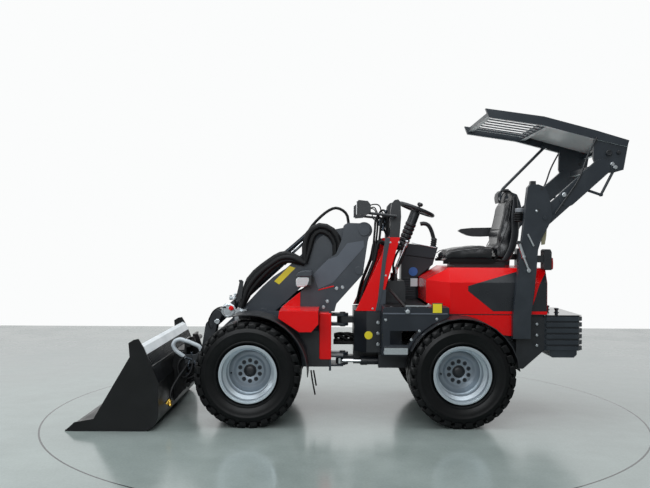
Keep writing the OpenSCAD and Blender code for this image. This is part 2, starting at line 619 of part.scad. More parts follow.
module rear_hoses() place() color(black) {
    // hoses from the valve block behind the cowl
    for (y = [-260, -225, 225, 260]) tube(spline([[1006.2, y, 1270], [930, y, 1290], [895, y, 1150], [822, y, 960], [785, y, 790]], 4), 12);
    // hoses through the middle of the frame's hinge
    for (y = [-36, 0, 36]) bar([596, y, hinge_hose_z], [764, y, hinge_hose_z], 15);
}
module seat_frame() place_rear() color(black) {
    // box under the cushion with its two slide rails
    box([1505, -180, hood_z], [1880, 180, 1128]);
    for (y = [-170, 130]) box([1470, y, 1120], [1890, y + 40, 1146]);
    // armrest on the right of the backrest
    slab(250, 310) polygon([[1607, 1386], [1632, 1402], [1713, 1410], [1880, 1414], [1915, 1400], [1915, 1352],
        [1870, 1343], [1795, 1339], [1729, 1340], [1680, 1349], [1636, 1368]]);
    box([1865, 230 + seat, 1350], [1912, 252, 1405]);
}
module seat_cushions() place_rear() color(black) {
    slab(-235, 235) polygon([[1412, 1176], [1426, 1146 + seat], [1800, 1146 + seat], [1800, 1259], [1694, 1266],
        [1560, 1250], [1450, 1230], [1418, 1208]]);
    slab(-230, 230) polygon([[1800 + seat, 1146 + seat], [1800 + seat, 1262], [1838, 1272], [1836, 1345], [1858, 1405],
        [1880, 1500], [1896, 1588], [1905, 1640], [1924, 1676], [1948, 1688], [1966, 1672], [1972, 1611], [1972, 1500],
        [1982, 1400], [1980, 1345], [1952, 1236], [1905, 1146 + seat]]);
}
half_post = hood_w / 2 + clear + post_t;
rops_pin = [2112, 1470];
rops_pin_r = 16;
arm_t = 24;
arm_y = half_post - post_t / 2;
roof_top = [[1680, 2256], [2102, 2200], [2466, 2105], [2714, 2032]];
roof_low = [[2700, 1985], [2466, 2040], [2102, 2134], [1705, 2191]];
roof_split_x = 2140;
stay_y = 360;
module rops_posts() place_rear() color(black) sides() difference() {
    union() {
        slab(-half_post, -half_post + post_t) polygon([[1885, 745], [1921, 1094], [1961, 1441], [1972, 1563],
            [1986, 1690], [2004, 1710], [2062, 1712], [2112, 1692], [2138, 1630], [2155, 1560], [2163, 1470], [2130, 1400],
            [2090, 1330], [2062, 1240], [2051, 1080], [2013, 745]]);
        slab(-half_post, -side_y - seat) polygon([[1885, 600], [2013, 600], [2013, 765], [1885, 765]]);
    }
    // slot between the two ears of the head
    slab(-arm_y - arm_t / 2 - clear, -arm_y + arm_t / 2 + clear) polygon([[2030, 1380], [2200, 1300], [2300, 1800],
        [2040, 1800]]);
    pin_y(rops_pin, rops_pin_r + run, -half_post - 1, -half_post + post_t + 1);
}
module rops_frame() place_rear() color(black) {
    sides() {
        difference() {
            slab(-arm_y - arm_t / 2, -arm_y + arm_t / 2) union() {
                link_2d(rops_pin, [2545, 1860], 56);
                polygon([[2466, 2062], [2714, 2025], [2678, 1821], [2605, 1799], [2500, 1800], [2460, 1900]]);
            }
            pin_y([2640, 1945], 14, -half_post, -half_post + post_t);
        }
        slab(-half_post + 4, -half_post + post_t - 4) link_2d([2275, 1616], [2520, 1837], 61);
        slab(-half_post, -half_post + 30) polygon(concat(roof_top, roof_low));
        pin_y(rops_pin, rops_pin_r, -half_post - 8, -half_post + post_t + 8);
        // grab loop behind the arm
        bar([2370, -arm_y, 1690], [2520, -arm_y, 1640], 10);
        pin_y([2520, 1640], 12, -arm_y - 11, -arm_y + 11);
        bar([2520, -arm_y, 1640], [2610, -arm_y, 1815], 10);
    }
    // cross members, each seated between the side pieces
    roof_in = half_post - 30 - seat;
    for (m = [[1712, 2212], [roof_split_x, 2140]]) box([m[0], -roof_in, m[1]], [m[0] + 40, roof_in, m[1] + 30]);
    arm_in = arm_y - arm_t / 2 - seat;
    box([2660, -arm_in, 1990], [2700, arm_in, 2020]);
    tube_in = half_post - post_t + 4 - seat;
    box([2550, -tube_in, 1840], [2590, tube_in, 1880]);
    // bent stay under the roof on the right
    tube([[1975, stay_y, 1640], [1965, stay_y, 1690], [1990, stay_y, 1735], [2335, stay_y, 2084]], 12, 10);
    box([2318, stay_y - 10, 2070], [2352, roof_in, 2100]);
    // open bars of the roof's front half
    for (y = [-300:100:300]) slab(y - 12, y + 12) polygon([[1730, 2222], [2102, 2168], [2150, 2155], [2150, 2147], [2102, 2160], [1730, 2214]]);
}
module roof_panel() place_rear() color(black) slab(-half_post + 30 + seat, half_post - 30 - seat)
    polygon([[roof_split_x, 2190], [2466, 2103], [2712, 2031], [2712, 2030.3], [2466, 2094], [roof_split_x, 2182]]);
module counterweight() place_rear() color(black) {
    box([2138 + seat, -322, 502], [2396, 322, 759]);
    // stacked plates with grooves between them
    for (k = [0:5]) translate([0, 0, 505 + k * 43]) linear_extrude(30) polygon([[2150, -340], [2384, -340],
        [2424, -300], [2424, 300], [2384, 340], [2150, 340]]);
    slab(-330, 330) polygon([[2179, 504], [2179, 470], [2197, 452], [2355, 452], [2377, 474], [2377, 504]]);
}
module tail_lamps() place_rear() sides() {
    color(black) slab(-half_post, -half_post + 90) polygon([[2105, 1105], [2105, 1235], [2115, 1245], [2150, 1245],
        [2160, 1225], [2160, 1095], [2115, 1095]]);
    color(red) box([2160, -half_post + 6, 1101], [2170, -half_post + 84, 1176]);
    // bracket on the post's rear edge
    color(black) slab(-half_post + 10, -half_post + 40) polygon([[2055.8 + seat, 1150], [2059.3 + seat, 1200],
        [2110, 1200], [2110, 1150]]);
}
steer_len = steer_base_x - steer_pin_x;
module steer_barrel() place() color(black) translate([steer_base_x, -steer_y, steer_z]) rotate([90, 0, 180])
    barrel(steer_len - 162, 29, 14, 26, 12, 40);
module steer_rod() place() color(chrome) translate([steer_base_x, -steer_y, steer_z]) rotate([90, 0, 180])
    rod(steer_len - 290, steer_len, 14, 26, 12, 40);
module steering_wheel() place() color(black) translate([wheel_hub[0], 0, wheel_hub[1]]) rotate([0, 21, 0]) {
    rotate_extrude($fn = 48) translate([135, 0]) circle(r = 14, $fn = 10);
    cylinder(r = 40, h = 20, center = true, $fn = 32);
    for (a = [90, 210, 330]) rotate(a) translate([30, -10, -6]) cube([98, 20, 10]);
    // spinner knob on the rim
    translate([0, -135, 0]) cylinder(r = 8, h = 24, $fn = 24);
    translate([0, -135, 20]) rotate_extrude($fn = 32) polygon([[0, 0], [14, 0], [22, 8], [22, 20], [14, 28], [0, 28]]);
}

front_chassis();
front_axle();
tower();
front_fenders();
front_panels();
headlamps();
boom_arm();
boom_couplers();
boom_hoses();
lift_barrel();
lift_rod();
tilt_barrel();
tilt_rod();
level_link();
bucket_shell();
bucket_guard();
quick_hitch();
place() tyre(0, -1);  // tyre_front_left
place() tyre(0, 1);  // tyre_front_right
place() tyre(wheelbase, -1);  // tyre_rear_left
place() tyre(wheelbase, 1);  // tyre_rear_right
place() rim(0, -1);  // rim_front_left
place() rim(0, 1);  // rim_front_right
place() rim(wheelbase, -1);  // rim_rear_left
place() rim(wheelbase, 1);  // rim_rear_right
rear_chassis();
rear_axle();
platform();
steps();
rear_fenders();
hood();
engine_block();
console();
cowl();
controls();
mirrors();
lamps();
rear_hoses();
seat_frame();
seat_cushions();
rops_posts();
counterweight();
steer_barrel();
steer_rod();
steering_wheel();
rops_frame();
roof_panel();
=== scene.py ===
# %% [markdown]
# # Mini wheel loader: looks
# The metal parts arrive as a fixed frame with the right places and sizes.
# This script gives every surface its real finish and adds what is too soft or too fine
# for the frame: tyre tread, cushions, hoses, bolts, blank stickers and lamp glass.

# %% Load the frame
import math

import bmesh
import bpy
import numpy as np
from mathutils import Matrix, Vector


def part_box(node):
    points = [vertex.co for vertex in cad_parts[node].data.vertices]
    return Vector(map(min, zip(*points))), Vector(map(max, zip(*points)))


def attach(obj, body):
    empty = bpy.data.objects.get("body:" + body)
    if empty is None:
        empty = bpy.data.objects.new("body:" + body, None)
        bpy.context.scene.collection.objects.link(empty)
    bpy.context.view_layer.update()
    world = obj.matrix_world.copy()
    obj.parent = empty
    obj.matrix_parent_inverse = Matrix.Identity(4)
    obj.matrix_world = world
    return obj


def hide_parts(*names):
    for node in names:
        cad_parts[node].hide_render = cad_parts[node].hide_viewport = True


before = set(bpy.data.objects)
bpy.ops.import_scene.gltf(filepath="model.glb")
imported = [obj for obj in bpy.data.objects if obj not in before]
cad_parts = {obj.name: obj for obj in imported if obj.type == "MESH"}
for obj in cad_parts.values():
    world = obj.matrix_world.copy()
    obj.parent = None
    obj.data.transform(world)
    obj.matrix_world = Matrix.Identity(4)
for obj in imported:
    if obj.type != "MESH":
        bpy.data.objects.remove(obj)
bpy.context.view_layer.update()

# %% [markdown]
# ## Places
# All lengths below are millimetres, counted from the front axle to the rear (x), from the
# middle to the machine's right (y) and up from the floor (z), as on a workshop drawing.
# One function turns them into the frame's metres.

# %% Drawing millimetres to metres
MM = 0.001
rim_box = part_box("rim_front_left")
FRONT_AXLE = (rim_box[0].x + rim_box[1].x) / 2
LEFT, RIGHT = -1, 1
SIDES = ((LEFT, "left"), (RIGHT, "right"))
OFF = 0.3  # films stand this far off the solid behind them, in millimetres
TO_LEFT, TO_RIGHT, UP = Vector((0, -1, 0)), Vector((0, 1, 0)), Vector((0, 0, 1))


def at(x, y, z):
    return Vector((FRONT_AXLE + x * MM, y * MM, z * MM))


print("front axle stands at x =", round(FRONT_AXLE, 4), "m")


# %% [markdown]
# ## Colour
# Paint colours are given as hex codes, as on a colour card. The shader works in linear
# light, so one function converts them.

# %% Colour helper
def linear(code):
    out = []
    for k in (1, 3, 5):
        c = int(code[k:k + 2], 16) / 255
        out.append(c / 12.92 if c <= 0.04045 else ((c + 0.055) / 1.055) ** 2.4)
    return (*out, 1.0)


print("mid grey in linear light:", round(linear("#808080")[0], 3))


# %% [markdown]
# Each finish is a small graph of shader nodes. These functions add the nodes used most: a
# noise, a change of range, a mix of two colours, a bump, and the surface itself.

# %% Shader helpers
def add(tree, kind, inputs=None, **settings):
    """Adds one shader node, sets its settings, and fills or links its inputs."""
    node = tree.nodes.new(kind)
    for key, value in settings.items():
        setattr(node, key, value)
    for key, value in (inputs or {}).items():
        socket = node.inputs[key]
        if isinstance(value, bpy.types.NodeSocket):
            tree.links.new(value, socket)
        else:
            socket.default_value = value
    return node


def new_material(name):
    """An empty material, returned with its node tree and its texture coordinates."""
    mat = bpy.data.materials.new(name)
    mat.use_nodes = True
    tree = mat.node_tree
    tree.nodes.clear()
    return mat, tree, add(tree, "ShaderNodeTexCoord").outputs["Object"]


def finish_material(mat, tree, surface):
    out = add(tree, "ShaderNodeOutputMaterial")
    tree.links.new(surface, out.inputs["Surface"])
    return mat


def noise(tree, place, scale, detail, roughness=0.5):
    return add(tree, "ShaderNodeTexNoise", {"Vector": place, "Scale": scale, "Detail": detail,
        "Roughness": roughness}).outputs["Fac"]


def remap(tree, value, low, high, to_low, to_high):
    """Stretches the range low to high of a value to a new range."""
    return add(tree, "ShaderNodeMapRange", {"Value": value, "From Min": low, "From Max": high,
        "To Min": to_low, "To Max": to_high}).outputs["Result"]


def blend(tree, share, first, second):
    """Mixes two colours."""
    return add(tree, "ShaderNodeMix", {0: share, 6: first, 7: second}, data_type="RGBA").outputs[2]


def relief(tree, height, strength, depth, **more):
    """A bump in the surface, at most depth metres high."""
    return add(tree, "ShaderNodeBump", {"Height": height, "Strength": strength,
        "Distance": depth, **more}).outputs["Normal"]


def finish_surface(mat, tree, colour, rough, normal, ior=1.5, metal=0.0, see_through=0.0):
    """Gives the material its one surface shader."""
    shader = add(tree, "ShaderNodeBsdfPrincipled", {"Base Color": colour, "Roughness": rough,
        "Normal": normal, "IOR": ior, "Metallic": metal, "Transmission Weight": see_through})
    return finish_material(mat, tree, shader.outputs["BSDF"])


def per_metre(size_mm):
    """Texture scale that gives features of this size when coordinates are metres."""
    return 1000.0 / size_mm


print("texture scale of a 3 mm orange peel:", round(per_metre(3), 1))


# %% [markdown]
# ## Powder coat
# The frame, boom and roll bars are steel with baked powder. It is not mirror smooth: the
# powder melts into a faint orange peel of 2 to 4 mm waves, and a little dust settles on it.
# A plain colour would look like plastic, so noise at both scales drives the bump, the gloss
# and the dust. A bevel node catches light along the sheet's edges. One recipe serves all the
# paints; colour, gloss, peel and reflection differ.

# %% Powder coat recipe
DUST_PATCH = 160  # size of the patches of dust, in millimetres


def powder_coat(name, code, dust_code, rough, peel_mm, depth, dust=0.25, ior=1.5, metal=0.0,
        painted_underside_light=None):
    mat, tree, place = new_material(name)
    peel = noise(tree, place, per_metre(peel_mm), 2.0)
    film = noise(tree, place, per_metre(DUST_PATCH), 5.0)
    patch = remap(tree, film, 0.42, 0.75, 0.0, dust)
    tone = blend(tree, patch, linear(code), linear(dust_code))
    if painted_underside_light:  # a pale painted reflection of the bright floor on faces that look straight down
        facing = add(tree, "ShaderNodeNewGeometry").outputs["Normal"]
        split = add(tree, "ShaderNodeSeparateXYZ", {"Vector": facing})
        down = add(tree, "ShaderNodeMath", {0: split.outputs["Z"], 1: -0.9}, operation="LESS_THAN")
        tone = blend(tree, down.outputs[0], tone, linear(painted_underside_light))
    gloss = remap(tree, film, 0.3, 0.7, rough - 0.05, rough + 0.07)
    edge = add(tree, "ShaderNodeBevel", {"Radius": 0.003}, samples=4)
    bump = relief(tree, peel, depth, 0.0004, Normal=edge.outputs["Normal"])
    return finish_surface(mat, tree, tone, gloss, bump, ior, metal)


print("dust lies in patches of", DUST_PATCH, "mm")


# %% [markdown]
# The frame is graphite, the posts a shade darker, and the hood, cowl and front panels a glossy red.
# Vinyl film for stickers is smoother than powder, with a fine peel. The roof's sheet and bars are
# dark, and on their faces that look down a pale painted reflection of the bright floor makes the
# cab side look light from below. Paint reflects like any clear plastic, with an IOR near 1.5; the
# matter blacks get less.

# %% Paints
graphite_coat = powder_coat("graphite_powder_coat", "#2c333b", "#454c54", 0.36, 3.0, 0.3)
slate_coat = powder_coat("slate_powder_coat", "#474e58", "#5b626b", 0.4, 3.0, 0.3)
black_coat = powder_coat("black_powder_coat", "#15191e", "#2c3238", 0.4, 3.0, 0.3)
red_coat = powder_coat("red_gloss_paint", "#d4060a", "#bd0d12", 0.2, 5.0, 0.1, dust=0.15, ior=1.38)
wheel_silver = powder_coat("silver_wheel_paint", "#b9c3ca", "#a3adb5", 0.34, 2.5, 0.2, dust=0.5,
    metal=0.7)
# a darker copy of the wheel silver, as painted shade on the sunk disc
shaded_disc_paint = powder_coat("shaded_silver_paint", "#7d8790", "#727c85", 0.4, 2.5, 0.2, dust=0.5,
    metal=0.6)
grey_primer = powder_coat("engine_grey_paint", "#73777c", "#5d6064", 0.5, 2.0, 0.3)
post_coat = powder_coat("dark_graphite_powder_coat", "#20272e", "#3a4249", 0.36, 3.0, 0.3)
bucket_coat = powder_coat("bucket_black_paint", "#090a0c", "#17191c", 0.34, 3.0, 0.3, ior=1.4)
gloss_black = powder_coat("polished_black_lacquer", "#0b0d10", "#15181c", 0.1, 6.0, 0.05)
guard_coat = powder_coat("guard_black_paint", "#14171a", "#25292d", 0.3, 3.0, 0.3)
console_coat = powder_coat("console_grey_coat", "#161d25", "#29313a", 0.36, 3.0, 0.3, ior=1.45)
galvanised = powder_coat("galvanised_sheet", "#d3d8db", "#b4babe", 0.35, 9.0, 0.3, dust=0.5)
black_film = powder_coat("black_vinyl_film", "#191d22", "#23282e", 0.3, 6.0, 0.06)
# roof sheet and bars: dark paint on top, a painted reflection of the floor on faces that look down
roof_coat = powder_coat("roof_sheet_coat", "#20272e", "#3a4249", 0.36, 3.0, 0.3, painted_underside_light="#f2f6f8")
roof_bar_coat = powder_coat("roof_frame_coat", "#20272e", "#3a4249", 0.36, 3.0, 0.3,
    painted_underside_light="#e3e9ed")
yellow_film = powder_coat("yellow_vinyl_film", "#d9c81e", "#c2b021", 0.4, 6.0, 0.06)
blue_film = powder_coat("blue_vinyl_film", "#2a62ad", "#3d72b8", 0.35, 6.0, 0.06)
white_film = powder_coat("white_vinyl_film", "#dfe3e6", "#c9ced2", 0.4, 6.0, 0.06)
print("paints:", len(bpy.data.materials))

# %% [markdown]
# ## Plated steel
# Cylinder rods are hard chrome, ground and polished, so they mirror the room. Couplers and
# steps are zinc plated, with a soft brushed look.

# %% Metals
def plated_steel(name, code, rough, grain_mm, depth):
    mat, tree, place = new_material(name)
    grain = noise(tree, place, per_metre(grain_mm), 3.0)
    gloss = remap(tree, grain, 0.0, 1.0, rough * 0.7, rough * 1.3)
    bump = relief(tree, grain, depth, 0.0002)
    return finish_surface(mat, tree, linear(code), gloss, bump, metal=1.0)


chrome_rod = plated_steel("hard_chrome", "#dadcde", 0.1, 8.0, 0.1)
zinc_plate = plated_steel("zinc_plate", "#c4cace", 0.3, 2.0, 0.3)
brass_fitting = plated_steel("brass_fitting", "#c2a04a", 0.28, 2.0, 0.2)
dark_steel = plated_steel("blackened_steel", "#3a3f45", 0.35, 2.0, 0.3)
print("materials so far:", len(bpy.data.materials))

# %% [markdown]
# ## Rubber and plastic
# Tyre rubber is black with a fine pebble and a faint grey bloom. Moulded covers have a
# leather-like spark-eroded texture of about 1 mm. Hoses have a matt woven sleeve, and the
# seat's vinyl is grained but glossy. Cells of a Voronoi texture, sized in millimetres, make
# the grain of each.

# %% Rubber and moulded plastic
def moulded(name, code, bloom_code, rough, pebble_mm, depth, bloom=0.3, ior=1.5):
    mat, tree, place = new_material(name)
    pebble = add(tree, "ShaderNodeTexVoronoi", {"Vector": place, "Scale": per_metre(pebble_mm)},
        feature="SMOOTH_F1")
    film = noise(tree, place, per_metre(60), 6.0, 0.6)
    patch = remap(tree, film, 0.4, 0.75, 0.0, bloom)
    tone = blend(tree, patch, linear(code), linear(bloom_code))
    bump = relief(tree, pebble.outputs["Distance"], depth, 0.0005)
    return finish_surface(mat, tree, tone, rough, bump, ior)


tyre_rubber = moulded("tyre_rubber", "#060708", "#121416", 0.36, 2.0, 0.25, bloom=0.4, ior=1.28)
hose_rubber = moulded("hose_rubber", "#07080a", "#14161a", 0.55, 4.0, 0.5, ior=1.33)
grey_sleeve = moulded("grey_hose_sleeve", "#aab2b8", "#ced4d8", 0.4, 5.0, 0.6)
black_abs = moulded("moulded_black_plastic", "#15181c", "#282c31", 0.42, 1.2, 0.3)
seat_vinyl = moulded("seat_vinyl", "#111316", "#202327", 0.27, 2.2, 0.4, bloom=0.25)
print("materials so far:", len(bpy.data.materials))

# %% [markdown]
# A webbing strap is woven flat: ribs of about 2 mm run across it. A wave texture of that
# spacing gives the ribs.

# %% Webbing
mat, tree, place = new_material("tan_webbing")
ribs = add(tree, "ShaderNodeTexWave", {"Vector": place, "Scale": per_metre(4) / 3.0,
    "Distortion": 0.4}, bands_direction="Z")
tone = blend(tree, ribs.outputs["Fac"], linear("#6d6a55"), linear("#a39d80"))
bump = relief(tree, ribs.outputs["Fac"], 0.6, 0.0008)
webbing = finish_surface(mat, tree, tone, 0.8, bump)
print("rib spacing in millimetres:", 4)

# %% [markdown]
# ## Lamp glass
# A lamp is a clear moulded cover over a bright reflector. Seen from outside it is a pale
# glossy pane, so a light, slightly see-through plastic is enough.

# %% Lamp covers
def lamp_pane(name, code, see_through):
    mat, tree, place = new_material(name)
    flute = add(tree, "ShaderNodeTexWave", {"Vector": place, "Scale": per_metre(12) / 3.0,
        "Distortion": 0.0}, bands_direction="Z")
    bump = relief(tree, flute.outputs["Fac"], 0.35, 0.001)
    return finish_surface(mat, tree, linear(code), 0.06, bump, 1.58, see_through=see_through)


clear_lens = lamp_pane("clear_polycarbonate", "#e4e9ec", 0.35)
red_lens = lamp_pane("red_polycarbonate", "#a3090d", 0.2)
print("materials so far:", len(bpy.data.materials))

# %% [markdown]
# ## Finishes on the frame's parts
# Each part of the frame gets the finish of the real one.

# %% Assign finishes
FINISH = {
    graphite_coat: ["front_chassis", "tower", "boom_arm"],
    black_coat: ["front_axle", "lift_barrel", "tilt_barrel", "level_link", "rear_chassis",
        "rear_axle", "steer_barrel"],
    roof_coat: ["roof_panel"],
    roof_bar_coat: ["rops_frame"],
    bucket_coat: ["bucket_shell", "quick_hitch"],
    guard_coat: ["bucket_guard"],
    post_coat: ["rops_posts", "counterweight"],
    console_coat: ["console", "platform"],
    red_coat: ["front_panels", "hood", "cowl"],
    wheel_silver: ["rim_front_left", "rim_front_right", "rim_rear_left", "rim_rear_right"],
    chrome_rod: ["lift_rod", "tilt_rod", "steer_rod"],
    zinc_plate: ["boom_couplers", "steps"],
    tyre_rubber: ["tyre_front_left", "tyre_front_right", "tyre_rear_left", "tyre_rear_right"],
    hose_rubber: ["rear_hoses", "boom_hoses"],
    black_abs: ["front_fenders", "rear_fenders", "controls", "mirrors", "lamps", "headlamps",
                "seat_frame", "steering_wheel"],
    seat_vinyl: ["seat_cushions"],
    grey_primer: ["engine_block"],
}
for material, names in FINISH.items():
    for name in names:
        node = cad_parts[name]
        node.data.materials.clear()
        node.data.materials.append(material)
print("finished", sum(len(v) for v in FINISH.values()), "of", len(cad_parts), "parts")

# %% [markdown]
# ## Small tools for pieces
# Bolts, hub rings and fittings are all turned on a lathe, so one function sweeps a profile
# round an axis. Sheet parts and stickers are a flat outline with a little thickness. Hoses
# are curves with a round section. Each finished piece is told which body it moves with.

# %% Piece helpers
def put(name, data):
    """A new object for a mesh, curve, lamp or camera, linked to the scene."""
    obj = bpy.data.objects.new(name, data)
    bpy.context.scene.collection.objects.link(obj)
    return obj


made = []


def report(step):
    """Prints the pieces made since the last report."""
    print(f"{step}: {len(made)} pieces:", ", ".join(made))
    made.clear()


def place_piece(name, data, material, body):
    """Puts a mesh or curve in the scene, tells it its body and notes it for the report."""
    data.materials.append(material)
    obj = put(name, data)
    made.append(name)
    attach(obj, body)
    return obj


def to_mesh(bm, name):
    bmesh.ops.recalc_face_normals(bm, faces=bm.faces)
    mesh = bpy.data.meshes.new(name)
    bm.to_mesh(mesh)
    bm.free()
    return mesh


def piece(name, bm, material, body, sharp=32):
    """A finished mesh piece; edges sharper than this angle in degrees stay crisp."""
    mesh = to_mesh(bm, name)
    mesh.shade_smooth()
    mesh.set_sharp_from_angle(angle=math.radians(sharp))
    return place_piece(name, mesh, material, body)


def modify(obj, name, kind, **settings):
    """Adds a modifier and sets its settings."""
    modifier = obj.modifiers.new(name, kind)
    for key, value in settings.items():
        setattr(modifier, key, value)
    return modifier


def forms(count):
    """Empty forms to build in, each of which becomes a piece."""
    return [bmesh.new() for _ in range(count)]


def skin(bm, rings, closed=True):
    """Covers rows of points with quads; a closed row joins its last point to its first."""
    for low, high in zip(rings, rings[1:]):
        for k in range(len(low) - (0 if closed else 1)):
            n = (k + 1) % len(low)
            bm.faces.new((low[k], low[n], high[n], high[k]))


def turned(bm, centre, axis, profile, steps=32, ends=True):
    """Sweeps (radius, height) pairs in millimetres round an axis and closes both ends."""
    axis = axis.normalized()
    side = axis.orthogonal().normalized()
    other = axis.cross(side)
    rings = []
    for radius, height in profile:
        ring = []
        for k in range(steps):
            t = 2 * math.pi * k / steps
            out = (side * math.cos(t) + other * math.sin(t)) * radius
            ring.append(bm.verts.new(centre + (axis * height + out) * MM))
        rings.append(ring)
    skin(bm, rings)
    if ends:
        bm.faces.new(rings[0][::-1])
        bm.faces.new(rings[-1])


def bolt(bm, centre, axis, r):
    """A hexagon bolt with a chamfered head on a washer; r is the thread's radius."""
    turned(bm, centre, axis, [(2.1 * r, -0.5), (2.1 * r, 0.25 * r), (1.95 * r, 0.4 * r),
        (0.5 * r, 0.4 * r)], 24)
    turned(bm, centre, axis, [(1.6 * r, 0.35 * r), (1.6 * r, 1.1 * r), (1.35 * r, 1.4 * r),
        (0.7 * r, 1.4 * r)], 6)


def upright(y, *points):
    """Points (x, z) of the side view, all at one distance y from the middle."""
    return [(x, y, z) for x, z in points]


def film(bm, points, out):
    """A flat outline in drawing millimetres, thickened by the vector out."""
    low = [bm.verts.new(at(*p)) for p in points]
    high = [bm.verts.new(at(*(Vector(p) + Vector(out)))) for p in points]
    bm.faces.new(low)
    bm.faces.new(high)
    for k in range(len(low)):
        n = (k + 1) % len(low)
        bm.faces.new((low[k], low[n], high[n], high[k]))


def hose(name, route, radius, material, body, fine=8):
    """A round hose, rod or wire through points in drawing millimetres."""
    curve = bpy.data.curves.new(name, "CURVE")
    curve.dimensions = "3D"
    curve.bevel_depth = radius * MM
    curve.bevel_resolution = 3
    curve.resolution_u = fine
    curve.use_fill_caps = True
    line = curve.splines.new("BEZIER")
    line.bezier_points.add(len(route) - 1)
    for point, place in zip(line.bezier_points, route):
        point.co = at(*place)
        point.handle_left_type = point.handle_right_type = "AUTO"
    return place_piece(name, curve, material, body)


# %% [markdown]
# ## Tyres
# A loader tyre is a moulded carcass with some thirty curved lugs on each half, set in a
# staggered herringbone. The lugs run over the shoulder onto the side wall. The carcass is a
# turned profile with a rim-guard ridge. Each lug is a six-sided section swept along a curve,
# narrower at the top, as it leaves the mould.

# %% Tyre carcass and lugs
TYRE_R = 368.0
TREAD_DEPTH = 20.0
LUGS = 28
CARCASS = [(186, 92), (200, 100), (208, 122), (216, 132), (222, 141), (227, 142), (232, 140),
    (250, 148), (272, 153), (288, 154.5), (293, 157), (298, 157), (303, 154), (316, 151.5),
    (328, 147), (338, 140), (345, 128), (347.5, 110), (348, 70), (348, 0)]


def lug_path(half):
    """Points (across, radius, angle) of a lug's middle line, from tread centre to side wall."""
    path = []
    for k in range(9):
        s = k / 8
        path.append((half * (5 + 141 * s), TYRE_R, 0.34 * s ** 1.35))
    path.append((half * 153.5, TYRE_R - 13, 0.352))
    path.append((half * 155.5, TYRE_R - 28, 0.355))
    path.append((half * 155.0, TYRE_R - 42, 0.357))
    return path


def tyre_form(wheel_x, wheel_y):
    centre = at(wheel_x, wheel_y, TYRE_R)
    bm = bmesh.new()
    profile = [(r, -w) for r, w in CARCASS] + [(r, w) for r, w in CARCASS[-2::-1]]
    turned(bm, centre, TO_RIGHT, profile, 120, ends=False)
    for half in (-1, 1):
        for n in range(LUGS):
            start = 2 * math.pi * (n + (0.5 if half > 0 else 0.0)) / LUGS
            rings = []
            path = lug_path(half)
            for k, (across, radius, turn) in enumerate(path):
                s = k / (len(path) - 1)
                top, foot = 24 + 3 * s, 28 + 3 * s
                drop = TREAD_DEPTH + 3 if k < 9 else (17, 14, 6)[k - 9]
                section = [(-foot, drop), (-top - 1.5, 3), (-top + 2, 0), (top - 2, 0),
                    (top + 1.5, 3), (foot, drop)]
                ring = []
                for along, down in section:
                    r = radius - (down if k < 9 else down * 0.35)
                    y = across - (0 if k < 9 else half * down * 0.9)
                    a = start + turn + along / TYRE_R
                    ring.append(bm.verts.new(centre + Vector((r * math.sin(a), y,
                        -r * math.cos(a))) * MM))
                rings.append(ring)
            skin(bm, rings)
            bm.faces.new(rings[0])
            bm.faces.new(rings[-1])
    floor = 0.0004
    for v in bm.verts:
        v.co.z = max(v.co.z, floor)
    return bm


WHEELS = {}
for end in ("front", "rear"):
    for side, word in SIDES:
        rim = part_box(f"rim_{end}_{word}")
        WHEELS[f"{end}_{word}"] = ((rim[0].x + rim[1].x) / 2 / MM - FRONT_AXLE / MM,
            (rim[0].y + rim[1].y) / 2 / MM, side)
for key, (wx, wy, side) in WHEELS.items():
    tyre = piece("tread_" + key, tyre_form(wx, wy), tyre_rubber, "wheel_" + key, 38)
    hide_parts("tyre_" + key)
print("tyre triangles each:", sum(len(p.vertices) - 2 for p in tyre.data.polygons))

# %% [markdown]
# ## Wheel discs
# The pressed disc is held by ten studs round a bore. Seen from outside the stud holes and the bore
# lie in deep shade, so black cups in the holes and a black ring round the bore are painted shade,
# with a nut in each hole and a black hub cap in the middle. The sunk disc lies in shade, so a thin
# turned skin in a darker silver covers it as painted shade.

# %% Nuts, hub caps and valves
DISC_IN = 47.0
for key, (wx, wy, side) in WHEELS.items():
    out = Vector((0, side, 0))
    face = wy - side * DISC_IN
    # black ring and cap in the bore, and black cups in the stud holes: painted shade of the deep
    # holes
    hole_shade_and_hub, nuts = forms(2)
    turned(hole_shade_and_hub, at(wx, face, TYRE_R), out, [(46, 2.3), (46, 4), (43, 6), (38, 6.5), (36, 10),
        (30, 15), (20, 18), (5, 19)], 48)
    for k in range(10):
        a = 2 * math.pi * (k + 0.5) / 10
        hole = at(wx + 73 * math.cos(a), face, TYRE_R + 73 * math.sin(a))
        turned(hole_shade_and_hub, hole, out, [(15.5, 3.3), (15.5, 14.2), (14.5, 15.3), (11, 15.3)], 24)
        turned(nuts, hole, out, [(10, 10), (10, 20), (8, 22.5), (3, 22.5)], 6)
    turned(nuts, at(wx - 131, face, TYRE_R - 12), out, [(7, 8), (7, 16), (4.5, 18), (4.5, 40),
        (6, 41), (6, 52), (4, 54)], 20)
    # the disc skin's darker silver is painted shade
    disc = bmesh.new()
    turned(disc, at(wx, face, TYRE_R), out, [(48, 13.9), (49, 14.5), (98, 14.5), (116, 26.5),
        (150, 26.5), (151, 25.9)], 48, False)
    piece("disc_" + key, disc, shaded_disc_paint, "wheel_" + key)
    piece("hole_shade_and_hub_" + key, hole_shade_and_hub, black_abs, "wheel_" + key)
    piece("nuts_" + key, nuts, dark_steel, "wheel_" + key)
report("wheels")

# %% [markdown]
# ## Seat
# The seat is foam under coated fabric. Foam swells between its seams, so a boxy shape is
# wrong. The solids give the profile. Each cushion is a closed form, blown up a little with
# the cloth solver and cooled to a plain mesh; then the welted seams are pressed in.

